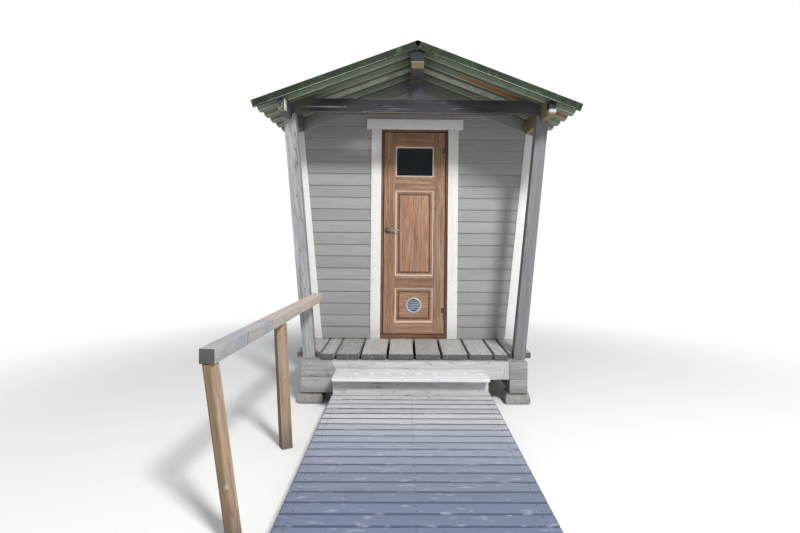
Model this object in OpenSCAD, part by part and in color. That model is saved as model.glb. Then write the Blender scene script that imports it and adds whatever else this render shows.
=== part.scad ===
// Wooden outhouse with an open porch, a box step and the timber walk that leads to it.
// Millimetres. X runs to the right, Y runs back from the front wall's face, Z is up from the ground.

/* [Body] */
// Width of the body across its side walls, at floor level
body_w = 1800; // [1500:10:2200]
// Depth of the body from the front wall's face to the back wall's face
body_d = 1500; // [1200:10:2200]
// Thickness of the framed walls, boards and studs together
wall_t = 90; // [60:1:130]
// Outward lean of the side walls, in degrees
wall_lean = 5.5; // [0:0.1:7]
// Width of the painted corner boards
corner_board_w = 95; // [70:1:130]
// Thickness of the corner and rake boards
trim_t = 22; // [14:1:28]
// Height of the rake boards under the roof, measured upright
rake_h = 112; // [80:1:140]

/* [Roof] */
// Height of the ridge, under the roof sheets, above the top of the door leaf
ridge_rise = 487.5; // [440:0.5:800]
// Pitch of the roof, in degrees
roof_pitch = 20.4; // [14:0.1:26]
// Overhang of the roof beyond the top of the side walls, measured level
eaves_overhang = 146; // [100:1:300]
// Overhang of the roof in front of the front wall
front_overhang = 880; // [800:5:1200]
// Overhang of the roof behind the back wall
back_overhang = 250; // [120:5:500]
// Height of the ribs pressed in the roof sheets
rib_h = 37; // [20:1:50]
// Distance from rib to rib
rib_pitch = 205; // [180:1:260]
// Thickness of the roof sheets and flashings
sheet_t = 3; // [2:0.5:4]
// Drop of the verge flashing below the sheets
verge_drop = 17; // [5:1:40]
// Width of the ridge cap on each slope
cap_w = 150; // [90:1:220]

/* [Roof timbers] */
// Thickness of each of the two planks of the ridge beam
ridge_plank_t = 47.5; // [35:0.5:60]
// Height of the ridge beam
ridge_beam_h = 161; // [120:1:200]
// Thickness of the eaves plates
plate_t = 48; // [35:1:60]
// Height of the eaves plates on their inner side
plate_h = 118; // [90:1:140]
// Distance from the outer edge of a side wall's top in to the inner side of the eaves plate
plate_inset = 86; // [60:1:125]
// Height of the tie beam across the porch
tie_h = 114; // [80:1:140]
// Thickness of the tie beam
tie_t = 48; // [35:1:70]
// Height of the underside of the tie beam above the top of the door leaf
tie_rise = 49.5; // [20:0.5:90]
// Width of the king post on the tie beam
king_w = 105; // [70:1:140]

/* [Porch] */
// Distance from the front wall's face to the ends of the porch planks
deck_d = 632; // [600:1:900]
// Thickness of the porch and floor planks
plank_t = 48; // [32:1:60]
// Gap between the porch planks
plank_gap = 20; // [6:1:30]
// Width of the porch beyond the body, on each side
deck_side = 49; // [40:1:80]
// Size of the square porch posts
post_w = 95; // [75:1:120]
// Distance from the ends of the porch planks back to the front of the posts
post_setback = 47; // [20:1:80]
// Distance from the side edge of the porch in to the middle of a post, at floor level
post_inset = 98; // [60:1:115]
// Outward lean of the porch posts, in degrees
post_lean = 5.1; // [0:0.1:6.5]

/* [Base] */
// Height of the foundation stones
stone_h = 93; // [60:1:200]
// Height of each sill timber, two of which lie on each other
sill_h = 122; // [90:1:150]
// Width of the sill timbers
sill_w = 142; // [110:1:180]
// Distance from the edge of the porch planks in to the sill timbers
sill_inset = 57; // [45:1:80]
// Height of the board that closes the porch's front
rim_h = 138; // [100:1:200]
// Thickness of the board that closes the porch's front
rim_t = 95; // [85:1:120]
// Distance that the porch's base stands out beyond the plank ends
base_lip = 58; // [30:1:80]
// Width of the timber block at the porch's left corner, at its top
corner_block_w = 235; // [200:1:280]
// Height of the lowest of the three blocks at the porch's right corner
low_block_h = 109; // [80:1:130]
// Height of the middle one of these blocks
mid_block_h = 76; // [50:1:90]
// Width of the pale wedge at the right end of the front board, at its top
wedge_w = 19; // [10:1:40]

/* [Door] */
// Width of the door leaf
leaf_w = 556; // [500:1:760]
// Height of the door leaf
leaf_h = 1836; // [1780:1:1860]
// Thickness of the door leaf
leaf_t = 40; // [35:1:50]
// Clearance round the door leaf
door_gap = 7.5; // [7.5:0.5:9]
// Width of the door frame's jambs
jamb_w = 38; // [30:1:50]
// Width of frame that stays visible beside the architraves
reveal = 18; // [12:1:26]
// Depth of the doorstop behind the leaf
stop_w = 14; // [10:1:20]
// Height of the door sill above the floor
sill_plate_h = 36; // [20:1:45]
// Width of the architraves
architrave_w = 92; // [70:1:120]
// Thickness of the architraves
architrave_t = 25; // [18:1:32]
// Distance that the head board runs past the architraves
head_past = 42; // [0:1:60]
// Distance from the wall's face back to the door leaf's face
leaf_set = 3; // [2:0.5:8]
// Width of the stiles of the door leaf
stile_w = 100; // [85:1:120]
// Height of the bottom rail
bottom_rail_h = 98; // [80:1:140]
// Height of the opening for the low panel
low_panel_h = 322; // [280:1:380]
// Height of the lock rail
lock_rail_h = 103; // [85:1:130]
// Height of the rail under the glass
glass_rail_h = 119; // [90:1:140]
// Height of the opening for the glass
glass_h = 282; // [240:1:340]
// Height of the top rail
top_rail_h = 125; // [100:1:150]
// Width of the mouldings that hold panels and glass
moulding_w = 16; // [10:1:22]
// Diameter of the round vent
vent_d = 145; // [120:1:160]
// Height of the lever's spindle above the leaf's lower edge
lever_rise = 944; // [900:1:960]
// Length of the lever
lever_len = 110; // [90:1:130]

/* [Step and walk] */
// Width of the box step
step_w = 1166; // [1000:1:1180]
// Depth of the step's tread
step_d = 281; // [240:1:340]
// Height of the step's tread above the walk
step_rise = 153; // [130:1:160]
// Overhang of the tread in front of the riser
nosing = 85; // [20:1:90]
// Thickness of the step's and the walk's boards
board_t = 28; // [22:1:34]
// Shift of the walk and the step to the left of the doorway's middle
walk_shift = 25; // [0:1:30]
// Width of the walk
walk_w = 1207; // [1190:1:1300]
// Height of the bearers under the walk
bearer_h = 102; // [70:1:115]
// Width of each board across the walk
walk_board_w = 95; // [80:1:145]
// Gap between the walk's boards
walk_gap = 5; // [4:1:10]
// Number of boards in the walk
walk_boards = 24; // [22:1:40]

/* [Handrail] */
// Width of the handrail
rail_w = 73; // [60:1:90]
// Height of the handrail's section
rail_h = 70; // [50:1:90]
// Height of the top of the handrail above the ground
rail_top = 851; // [800:1:950]
// Distance that the handrail's near end stands left of the middle
rail_near_x = 934; // [900:1:960]
// Distance from the front wall's face to the handrail's near end
rail_near_y = 2600; // [2300:5:3000]
// Distance from the front wall's face to the handrail's middle post
rail_mid_y = 1530; // [1300:5:1800]
// Distance from the handrail's near end to the middle of its near post
rail_past = 40; // [35:1:120]
// Distance from the walk's edge to the middle of the posts' feet
rail_foot_gap = 192; // [120:1:200]
// Size of the square posts under the handrail
rail_post_w = 69; // [50:1:72]

/* [Hidden] */
$fn = 48;

// Clearance between pieces that bear on each other in one node
seat = 0.3;
// Heights
base_z = stone_h + 2 * sill_h;
floor_z = base_z + plank_t;
leaf_z = floor_z + sill_plate_h + door_gap;
leaf_top = leaf_z + leaf_h;
ridge_z = leaf_top + ridge_rise;
walk_z = bearer_h + board_t;
// Slopes of the walls, posts and roof, as width for each unit of height or height for each of width
lean_k = tan(wall_lean);
post_k = tan(post_lean);
pitch_k = tan(roof_pitch);
// Halves and edges
body_half = body_w / 2;
deck_half = body_half + deck_side;
sill_out = deck_half - sill_inset;
base_front = -(deck_d + base_lip);
post_front = -(deck_d - post_setback);
post_back = post_front + post_w;
post_x = deck_half - post_inset;
wall_top_x = lean_x(body_half, 0, lean_k);
roof_front = -front_overhang;
roof_back = body_d + back_overhang;
// Ends of the ridge beam and of the eaves plates, behind the verges
ridge_front = roof_front + 20;
ridge_back = roof_back - 20;
plate_front = roof_front + 30;
plate_back = roof_back - 30;
plate_x = wall_top_x - plate_inset;
plate_out = plate_x + plate_t;
plate_z = roof_z(plate_x) - plate_h;
tie_z = leaf_top + tie_rise;
// Joists under the floor
joist_h = 98;
joist_t = 48;
// Door
leaf_half = leaf_w / 2;
clear_half = leaf_half + door_gap;
rough_half = clear_half + jamb_w;
frame_top = leaf_top + door_gap + jamb_w;
trim_z = leaf_top + door_gap + reveal;
sill_nose = 10;
leaf_y = leaf_set;
leaf_back = leaf_set + leaf_t;
tall_panel_h = leaf_h - bottom_rail_h - low_panel_h - lock_rail_h - glass_rail_h - glass_h - top_rail_h;
low_z = leaf_z + bottom_rail_h;
lock_z = low_z + low_panel_h;
tall_z = lock_z + lock_rail_h;
glass_rail_z = tall_z + tall_panel_h;
glass_z = glass_rail_z + glass_rail_h;
top_rail_z = glass_z + glass_h;
opening_half = leaf_half - stile_w;
panel_t = 12;
panel_y = leaf_y + (leaf_t - panel_t) / 2;
glass_t = 5;
glass_y = leaf_y + (leaf_t - glass_t) / 2;
vent_z = low_z + low_panel_h / 2;
spindle_d = 9;
lever_x = -leaf_half + stile_w / 3;
lever_z = leaf_z + lever_rise;
rose_d = 50;
rose_t = 8;
rose_rim = 2.5;
neck_d = 18;
neck_len = 24;
bend_r = 10;
grip_d = 14;
tip_d = 9;
hinge_x = leaf_half + door_gap / 2;
hinge_y = leaf_y - 11;
barrel_d = 14;
barrel_h = 45;
pin_d = 8;
pin_play = 0.05;
hinge_plate_t = 2.5;
hinge_zs = [leaf_z + 190, leaf_top - 190];
// Roof sheet
crest_w = 75;
valley_w = 80;
sheet_len = (wall_top_x + eaves_overhang) / cos(roof_pitch);
rib_mid = post_front + tie_t / 2;
sheet_start = 1;
flash_start = (verge_drop * sin(roof_pitch) + 0.6) / cos(roof_pitch);
flash_w = 95;
flash_h = rib_h + sheet_t + 2 * seat;
// Step
step_x = -(walk_shift + 7);
tread_top = walk_z + step_rise;
tread_back = base_front - seat;
riser_y = tread_back - step_d + nosing;
walk_back = tread_back;
last_board_cut = 12;
// Handrail
rail_near = [-rail_near_x, -rail_near_y];
post_inner = post_x + (rail_top - rail_h - floor_z) * post_k - half_post();
rail_far_x = -(post_inner - seat - rail_w / 2);
rail_far = [rail_far_x, post_front];
rail_turn = atan2(rail_far[0] - rail_near[0], rail_far[1] - rail_near[1]);
near_post_turn = 25;
mid_post_turn = 30;

// Height of the roof sheets' underside at a distance from the ridge line
function roof_z(x) = ridge_z - abs(x) * pitch_k;
// Half the level width of a leaning post
function half_post() = post_w / cos(post_lean) / 2;
// Where a line that leans out from x0 at floor level meets a line that runs under the roof by a drop
function lean_x(x0, drop, k) = (x0 + (ridge_z - drop - floor_z) * k) / (1 + pitch_k * k);
function lean_point(x0, drop, k) = [lean_x(x0, drop, k), roof_z(lean_x(x0, drop, k)) - drop];
// Position along a leaning line at a height
function at_height(x0, z, k) = x0 + (z - floor_z) * k;

// Extrudes an outline drawn in X and Z from one depth to another
module upright(y0, y1) {
    translate([0, y1, 0]) rotate([90, 0, 0]) linear_extrude(y1 - y0) children();
}

// Makes a piece on the right, and its mirror image on the left
module both_sides() {
    children();
    mirror([1, 0, 0]) children();
}

module block(x0, x1, y0, y1, z0, z1) {
    translate([x0, y0, z0]) cube([x1 - x0, y1 - y0, z1 - z0]);
}

// Space of an eaves plate with clearance, on the right
module plate_space() {
    block(plate_x - seat, plate_out + seat, plate_front - 1, plate_back + 1, plate_z - seat, ridge_z);
}

module ridge_space() {
    half = ridge_plank_t + seat;
    block(-half, half, ridge_front - 1, ridge_back + 1, ridge_z - ridge_beam_h - seat, ridge_z + 10);
}

// Base. A stone is wider at its foot than at its top.
stone_w = 210;
module stone(x, y, h) {
    hull() {
        translate([x, y, h / 4]) cube([stone_w, stone_w, h / 2], center = true);
        translate([x, y, h / 2]) cube([stone_w - 24, stone_w - 24, h], center = true);
    }
}

// Three stones under each sill, and a taller one under the doorway
module foundation_stones() color("#8b8a86") {
    mid = sill_out - sill_w / 2;
    for (side = [-1, 1], y = [base_front + stone_w / 2 + 5, body_d / 2 - 100, body_d - stone_w / 2 - 20]) {
        stone(side * mid, y, stone_h - seat);
    }
    stone(0, 0, base_z - joist_h - seat);
}

// Sills run from the corner blocks to the back
block_back = base_front + rim_t + 30;
module side_sills() color("#a6a8a8") both_sides() for (layer = [0, 1]) {
    z = stone_h + layer * sill_h;
    block(sill_out - sill_w, sill_out, block_back + seat, body_d, z, z + sill_h - seat);
}

// Outline of the front board, whose ends are cut on the slant
rim_left = -(sill_out - corner_block_w);
rim_right = sill_out - sill_w - wedge_w;
rim_slant = 0.55;
function rim_cut(z) = (base_z - z) * rim_slant;

module front_rim() color("#c6c6c8") {
    z0 = base_z - rim_h;
    upright(base_front, base_front + rim_t) polygon([
        [rim_left + rim_cut(z0), z0], [rim_right - rim_cut(z0), z0],
        [rim_right, base_z], [rim_left, base_z]
    ]);
}

module plinth_blocks() color("#a6a8a8") {
    for (layer = [0, 1]) {
        z0 = stone_h + layer * sill_h;
        z1 = z0 + sill_h - seat;
        upright(base_front, block_back) polygon([
            [-sill_out, z0], [rim_left + rim_cut(z0) - seat, z0],
            [rim_left + rim_cut(z1) - seat, z1], [-sill_out, z1]
        ]);
    }
    layers = [stone_h, stone_h + low_block_h, stone_h + low_block_h + mid_block_h, base_z];
    for (i = [0 : 2]) {
        block(sill_out - sill_w, sill_out, base_front, block_back, layers[i], layers[i + 1] - seat);
    }
}

module plinth_wedge() color("#c9d2cf") {
    z0 = base_z - rim_h;
    x1 = sill_out - sill_w - seat;
    upright(base_front + 12, base_front + rim_t) polygon([
        [rim_right - rim_cut(z0) + seat, z0], [x1, z0], [x1, base_z], [rim_right + seat, base_z]
    ]);
}

module floor_joists() color("#8c8174") {
    x1 = sill_out - sill_w - seat;
    for (y = [joist_t / 2, body_d / 3, body_d * 2 / 3, body_d]) {
        block(-x1, x1, y - joist_t, y, base_z - joist_h, base_z);
    }
}

// Porch and floor. The outer plank on each side takes what the others leave.
inner_planks = [217, 217, 200, 120];
function sum_to(list, n) = n == 0 ? 0 : list[n - 1] + sum_to(list, n - 1);
inner_sum = sum_to(inner_planks, len(inner_planks));

module porch_planks() color("#8a8480") {
    for (side = [0, 1]) mirror([side, 0, 0]) {
        for (i = [0 : len(inner_planks) - 1]) {
            x0 = sum_to(inner_planks, i) + plank_gap / 2;
            block(x0, x0 + inner_planks[i] - plank_gap, -deck_d, -seat, base_z, floor_z);
        }
        difference() {
            block(inner_sum + plank_gap / 2, deck_half, post_front + 35, -seat, base_z, floor_z);
            block(
                post_x - half_post() - plank_t * post_k - 3, post_x + half_post() + 3,
                post_front, post_back + 3, base_z - 1, floor_z + 1
            );
        }
    }
}

module room_floor() color("#9b8f80")
    block(-deck_half, deck_half, 0, body_d, base_z, floor_z);

// Walls. Every outline below is the right half, in X and Z.
module wall_outline(x0) {
    polygon([
        [x0, floor_z], [body_half, floor_z],
        lean_point(body_half, 0, lean_k), [x0, roof_z(x0)]
    ]);
}

module gable_wall_half(y0, y1, x0) {
    difference() {
        upright(y0, y1) wall_outline(x0);
        plate_space();
    }
}

module front_wall_right() color("#9c9b92") gable_wall_half(0, wall_t, rough_half);
module front_wall_left() color("#9c9b92") mirror([1, 0, 0]) gable_wall_half(0, wall_t, rough_half);

module front_gable() color("#9c9b92") difference() {
    upright(0, wall_t) polygon([
        [-rough_half, frame_top], [rough_half, frame_top], [rough_half, roof_z(rough_half)],
        [0, ridge_z], [-rough_half, roof_z(rough_half)]
    ]);
    ridge_space();
}

module back_wall() color("#9c9b92") difference() {
    upright(body_d - wall_t, body_d) polygon([
        [-body_half, floor_z], [body_half, floor_z], lean_point(body_half, 0, lean_k), [0, ridge_z],
        [-lean_x(body_half, 0, lean_k), roof_z(lean_x(body_half, 0, lean_k))]
    ]);
    both_sides() plate_space();
    ridge_space();
}

module side_wall() {
    inner = body_half - wall_t / cos(wall_lean);
    difference() {
        upright(wall_t, body_d - wall_t) polygon([
            [inner, floor_z], [body_half, floor_z],
            lean_point(body_half, 0, lean_k), lean_point(inner, 0, lean_k)
        ]);
        block(inner, plate_out + seat, 0, body_d, plate_z - seat, ridge_z);
    }
}

module right_wall() color("#9c9b92") side_wall();
module left_wall() color("#9c9b92") mirror([1, 0, 0]) side_wall();

// Corner boards on the front and back faces run up to the rake boards
module corner_boards_gable() color("#dcdcd8") {
    out = body_half + trim_t;
    inn = out - corner_board_w;
    for (y = [-trim_t, body_d]) both_sides() difference() {
        upright(y, y + trim_t) polygon([
            [inn, floor_z], [out, floor_z],
            lean_point(out, rake_h + seat, lean_k), lean_point(inn, rake_h + seat, lean_k)
        ]);
        plate_space();
    }
}

module corner_boards_side() color("#dcdcd8") {
    out = body_half + trim_t;
    for (y = [0, body_d - corner_board_w]) both_sides() upright(y, y + corner_board_w) polygon([
        [body_half + seat / 2, floor_z], [out, floor_z],
        lean_point(out, seat, lean_k), lean_point(body_half + seat / 2, seat, lean_k)
    ]);
}

module rake_boards() color("#8f8e86") {
    out = body_half + trim_t;
    x0 = ridge_plank_t + seat;
    for (y = [-trim_t, body_d]) both_sides() difference() {
        upright(y, y + trim_t) polygon([
            [x0, roof_z(x0)], [x0, roof_z(x0) - rake_h],
            lean_point(out, rake_h, lean_k), lean_point(out, 0, lean_k)
        ]);
        plate_space();
    }
}

// Door frame and the boards round it
module door_frame() color("#8a5a3c") {
    stop_y = leaf_back + door_gap;
    for (side = [0, 1]) mirror([side, 0, 0]) {
        translate([0, 0, floor_z + sill_plate_h + seat]) linear_extrude(leaf_h + 2 * door_gap - 2 * seat)
            polygon([
                [rough_half - seat, 0], [clear_half, 0], [clear_half, stop_y],
                [clear_half - stop_w, stop_y], [clear_half - stop_w, wall_t], [rough_half - seat, wall_t]
            ]);
    }
    block(-rough_half + seat, rough_half - seat, 0, wall_t, leaf_top + door_gap, frame_top - seat);
    difference() {
        block(-rough_half + seat, rough_half - seat, -sill_nose, wall_t, floor_z, floor_z + sill_plate_h);
        both_sides() block(clear_half + reveal - seat, rough_half, -sill_nose - 1, seat, 0, leaf_z);
    }
}

module architraves() color("#dcdcd8") {
    inn = clear_half + reveal;
    out = inn + architrave_w;
    both_sides() block(inn, out, -architrave_t, 0, floor_z, trim_z - seat);
    block(-out - head_past, out + head_past, -architrave_t, 0, trim_z, trim_z + architrave_w);
}

// Door leaf
module door_stiles() color("#8a5a3c") difference() {
    both_sides() block(opening_half, leaf_half, leaf_y, leaf_back, leaf_z, leaf_top);
    translate([lever_x, leaf_y - 1, lever_z]) rotate([-90, 0, 0])
        cylinder(d = neck_d + 1, h = leaf_t + 2);
}

module door_rails() color("#8a5a3c") {
    for (rail = [
        [leaf_z, bottom_rail_h], [lock_z, lock_rail_h],
        [glass_rail_z, glass_rail_h], [top_rail_z, top_rail_h]
    ]) {
        block(-opening_half, opening_half, leaf_y, leaf_back, rail[0], rail[0] + rail[1]);
    }
}

// A panel that is thick in the middle field and thin at its edges, on both faces
module raised_panel(z0, h) {
    w = 2 * opening_half - 2 * seat;
    border = 46;
    field = 18;
    translate([0, panel_y + panel_t / 2, z0 + h / 2]) {
        cube([w, panel_t, h - 2 * seat], center = true);
        for (face = [-1, 1]) hull() {
            translate([0, face * (panel_t / 2 - 1), 0])
                cube([w - 2 * border + 2 * field, 1, h - 2 * border + 2 * field], center = true);
            translate([0, face * (panel_t / 2 + 5), 0])
                cube([w - 2 * border, 1, h - 2 * border], center = true);
        }
    }
}

module door_panels() color("#9a6a48") {
    raised_panel(tall_z, tall_panel_h);
    difference() {
        raised_panel(low_z, low_panel_h);
        translate([0, leaf_y - 1, vent_z]) rotate([-90, 0, 0]) cylinder(d = vent_d - 24, h = leaf_t + 2);
    }
}

module frame_moulding(z0, h, y0, y1) {
    difference() {
        block(-opening_half + seat, opening_half - seat, y0, y1, z0 + seat, z0 + h - seat);
        block(
            -opening_half + moulding_w, opening_half - moulding_w, y0 - 1, y1 + 1,
            z0 + moulding_w, z0 + h - moulding_w
        );
    }
}

module door_mouldings() color("#8a5a3c") {
    for (part = [[low_z, low_panel_h], [tall_z, tall_panel_h]]) {
        frame_moulding(part[0], part[1], leaf_y + 2, panel_y - seat);
        frame_moulding(part[0], part[1], panel_y + panel_t + seat, leaf_back - 2);
    }
    frame_moulding(glass_z, glass_h, leaf_y + 2, glass_y - seat);
    frame_moulding(glass_z, glass_h, glass_y + glass_t + seat, leaf_back - 2);
}

module door_glass() color("#1c2628") {
    half = opening_half - 2;
    block(-half, half, glass_y, glass_y + glass_t, glass_z + 2, glass_z + glass_h - 2);
}

// Round vent: a rim with a sloped lip and a spout through the panel, closed by level slats
module door_vent() color("#a8b4c0") {
    rim_y = panel_y - 13;
    spout_d = vent_d - 24 - 0.6;
    lip = 3;
    translate([0, rim_y, vent_z]) rotate([-90, 0, 0]) {
        difference() {
            union() {
                cylinder(d1 = vent_d - 2 * lip, d2 = vent_d, h = lip);
                translate([0, 0, lip]) cylinder(d = vent_d, h = 7 - lip);
                cylinder(d = spout_d, h = panel_t + 24);
            }
            translate([0, 0, -1]) cylinder(d = spout_d - 8, h = panel_t + 26);
        }
        intersection() {
            cylinder(d = spout_d - 7, h = 20);
            union() for (i = [-3 : 3]) {
                translate([0, i * 14, 9]) rotate([38, 0, 0]) cube([vent_d, 2, 16], center = true);
            }
        }
    }
}

// Lever furniture: a rose with a sloped face on each side, and levers on one spindle
module rose() {
    difference() {
        union() {
            cylinder(d = rose_d, h = rose_rim);
            translate([0, 0, rose_rim]) cylinder(d1 = rose_d, d2 = rose_d - 14, h = rose_t - rose_rim);
        }
        translate([0, 0, -1]) cylinder(d = neck_d + 2 * pin_play, h = rose_t + 2);
    }
}

module door_roses() color("#3a3a3c") {
    translate([lever_x, leaf_y, lever_z]) rotate([90, 0, 0]) rose();
    translate([lever_x, leaf_back, lever_z]) rotate([-90, 0, 0]) rose();
}

// Neck that turns in the rose, a quarter bend, and a grip that tapers to a round tip
module lever_arm() {
    shoulder = (neck_d - grip_d) / 2;
    bend_y = -(neck_len + shoulder);
    grip_y = bend_y - bend_r;
    rotate([90, 0, 0]) cylinder(d = neck_d, h = neck_len);
    translate([0, -neck_len, 0]) rotate([90, 0, 0]) cylinder(d1 = neck_d, d2 = grip_d, h = shoulder);
    translate([bend_r, bend_y, 0]) rotate([0, 0, 180]) rotate_extrude(angle = 90)
        translate([bend_r, 0]) circle(d = grip_d);
    translate([bend_r, grip_y, 0]) rotate([0, 90, 0])
        cylinder(d1 = grip_d, d2 = tip_d, h = lever_len - bend_r - tip_d / 2);
    translate([lever_len - tip_d / 2, grip_y, 0]) sphere(d = tip_d);
}

module door_lever() color("#3a3a3c") {
    translate([lever_x, leaf_y + 2, lever_z]) lever_arm();
    translate([lever_x, leaf_back - 2, lever_z]) mirror([0, 1, 0]) lever_arm();
    translate([lever_x, leaf_y, lever_z]) rotate([-90, 0, 0]) cylinder(d = spindle_d, h = leaf_t);
}

// Lift-off hinges: the lower half with its pin is on the frame, the upper half is on the leaf
module hinge_pins() color("#55504a") for (z = hinge_zs) {
    translate([hinge_x, hinge_y, z - barrel_h - seat]) cylinder(d = barrel_d, h = barrel_h);
    translate([hinge_x, hinge_y, z - 2]) cylinder(d = pin_d, h = barrel_h * 0.8);
    block(hinge_x + 1, clear_half + 12, -hinge_plate_t, 0, z - barrel_h - seat, z - seat);
    block(hinge_x + 1, hinge_x + barrel_d / 2, hinge_y, 0, z - barrel_h - seat, z - seat);
}

module hinge_knuckles() color("#55504a") for (z = hinge_zs) {
    difference() {
        union() {
            translate([hinge_x, hinge_y, z]) cylinder(d = barrel_d, h = barrel_h);
            block(hinge_x - barrel_d / 2, hinge_x - 1, hinge_y, leaf_y, z, z + barrel_h);
            block(leaf_half - 28, hinge_x - 1, leaf_y - hinge_plate_t, leaf_y, z, z + barrel_h);
        }
        translate([hinge_x, hinge_y, z - 1]) cylinder(d = pin_d + 2 * pin_play, h = barrel_h * 0.8 + 3);
    }
}

// Porch frame
module porch_posts() color("#a9a8ad") {
    inn = post_x - half_post();
    drop = roof_z(post_x) - (tie_z + seat) + (post_x - at_height(inn, tie_z, post_k)) * pitch_k;
    out = post_x + half_post();
    both_sides() difference() {
        upright(post_front, post_back) polygon([
            [at_height(inn, base_z, post_k), base_z], [at_height(out, base_z, post_k), base_z],
            lean_point(out, drop, post_k), lean_point(inn, drop, post_k)
        ]);
        plate_space();
        block(0, plate_x, post_front - 1, post_back + 1, tie_z - seat, ridge_z);
    }
}

module tie_beam() color("#6f6a64") {
    x1 = plate_x - seat;
    top = tie_z + tie_h;
    crest = ridge_z + rib_h / cos(roof_pitch) - 1;
    flat_x = min(x1, (crest - top) / pitch_k);
    upright(post_front, post_front + tie_t) polygon([
        [-x1, tie_z], [x1, tie_z], [x1, min(top, crest - x1 * pitch_k)], [flat_x, top],
        [-flat_x, top], [-x1, min(top, crest - x1 * pitch_k)]
    ]);
}

module king_post() color("#7a756c")
    block(
        -king_w / 2, king_w / 2, post_front, post_front + tie_t,
        tie_z + tie_h + seat, ridge_z - ridge_beam_h - seat
    );

module ridge_planks() color("#6c6f5c") both_sides()
    upright(ridge_front, ridge_back) polygon([
        [seat / 2, ridge_z - ridge_beam_h], [ridge_plank_t, ridge_z - ridge_beam_h],
        [ridge_plank_t, roof_z(ridge_plank_t)], [seat / 2, roof_z(seat / 2)]
    ]);

module eaves_plates() color("#6c6f5c") both_sides()
    upright(plate_front, plate_back) polygon([
        [plate_x, plate_z], [plate_out, plate_z], [plate_out, roof_z(plate_out)], [plate_x, roof_z(plate_x)]
    ]);

// Folded covers over the front ends of the ridge beam and plates
cover_t = 3;
cover_len = 70;
module end_cover(x0, x1, z0, z1) {
    difference() {
        block(x0 - cover_t, x1 + cover_t, -cover_t - seat, cover_len, z0, z1);
        block(x0 - seat, x1 + seat, -seat, cover_len + 1, z0 - 1, z1 + 1);
    }
}

module beam_end_covers() color("#10121a") {
    ridge_low = ridge_z - ridge_beam_h + 48;
    ridge_side = roof_z(ridge_plank_t + cover_t) - 2;
    translate([0, ridge_front, 0]) end_cover(-ridge_plank_t, ridge_plank_t, ridge_low, ridge_side);
    both_sides() translate([0, plate_front, 0])
        end_cover(plate_x, plate_out, plate_z + 12, roof_z(plate_out + cover_t) - 2);
}

// Roof. A sheet's outline is drawn across the ribs and run down the slope.
function rib_points(y, h, inset) = [
    [h, y - crest_w / 2 - (rib_pitch - crest_w - valley_w) / 2 - inset],
    [h + rib_h, y - crest_w / 2 - inset],
    [h + rib_h, y + crest_w / 2 + inset],
    [h, y + crest_w / 2 + (rib_pitch - crest_w - valley_w) / 2 + inset]
];
rib_first = ceil((roof_front + rib_pitch / 2 - rib_mid) / rib_pitch);
rib_last = floor((roof_back - rib_pitch / 2 - rib_mid) / rib_pitch);
function rib_line(h, inset) = [
    for (i = [rib_first : rib_last], p = rib_points(rib_mid + i * rib_pitch, h, inset)) p
];
function reversed(list) = [for (i = [len(list) - 1 : -1 : 0]) list[i]];

// Turns what is drawn with X down from the roof plane, Y across the ribs and Z down the slope
module on_slope() {
    translate([0, 0, ridge_z]) rotate([0, 90 + roof_pitch, 0]) mirror([1, 0, 0]) children();
}

module roof_sheet() {
    y0 = roof_front + sheet_t + seat;
    y1 = roof_back - sheet_t - seat;
    on_slope() translate([0, 0, sheet_start]) linear_extrude(sheet_len - sheet_start) polygon(concat(
        [[seat, y0]], rib_line(seat, 0), [[seat, y1]],
        [[seat + sheet_t, y1]], reversed(rib_line(seat + sheet_t, 1)), [[seat + sheet_t, y0]]
    ));
}

module roof_sheet_right() color("#3f5d42") roof_sheet();
module roof_sheet_left() color("#3f5d42") mirror([1, 0, 0]) roof_sheet();

// A verge flashing's outline goes down the face and back over the first rib, from one end or the other
module flashing_outline(face, to_back) {
    inner = face + to_back * sheet_t;
    over = face + to_back * flash_w;
    polygon([
        [-verge_drop, face], [flash_h + sheet_t, face], [flash_h + sheet_t, over],
        [flash_h, over], [flash_h, inner], [-verge_drop, inner]
    ]);
}

module verge_flashings() color("#3f4d3e") both_sides() on_slope()
    translate([0, 0, flash_start]) linear_extrude(sheet_len - flash_start) {
        flashing_outline(roof_front, 1);
        flashing_outline(roof_back, -1);
    }

module ridge_cap() color("#3f4d3e") {
    low = ridge_z + (flash_h + sheet_t + seat) / cos(roof_pitch);
    high = low + sheet_t / cos(roof_pitch);
    x1 = cap_w * cos(roof_pitch);
    dx = sheet_t * sin(roof_pitch);
    upright(roof_front + 10, roof_back - 10) polygon([
        [0, low], [x1, low - x1 * pitch_k], [x1 + dx, high - (x1 + dx) * pitch_k], [0, high],
        [-x1 - dx, high - (x1 + dx) * pitch_k], [-x1, low - x1 * pitch_k]
    ]);
}

// Step
module step_tread() color("#d2d3d6") {
    half = step_w / 2;
    board = step_d / 2;
    for (i = [0, 1]) {
        y1 = tread_back - i * board;
        block(step_x - half, step_x + half, y1 - board + 2, y1, tread_top - board_t, tread_top);
    }
}

module step_box() color("#b9b9bc") {
    half = step_w / 2;
    z1 = tread_top - board_t - seat;
    block(step_x - half, step_x + half, riser_y, riser_y + board_t, walk_z, z1);
    for (side = [-1, 1]) {
        x = step_x + side * (half - board_t / 2);
        block(x - board_t / 2, x + board_t / 2, riser_y + board_t + seat, tread_back, walk_z, z1);
    }
}

// Walk
module walk_planks() color("#8d93a3") for (i = [0 : walk_boards - 1]) {
    y1 = walk_back + last_board_cut - i * (walk_board_w + walk_gap);
    block(
        -walk_shift - walk_w / 2, -walk_shift + walk_w / 2,
        y1 - walk_board_w, min(y1, walk_back), bearer_h, walk_z
    );
}

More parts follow.
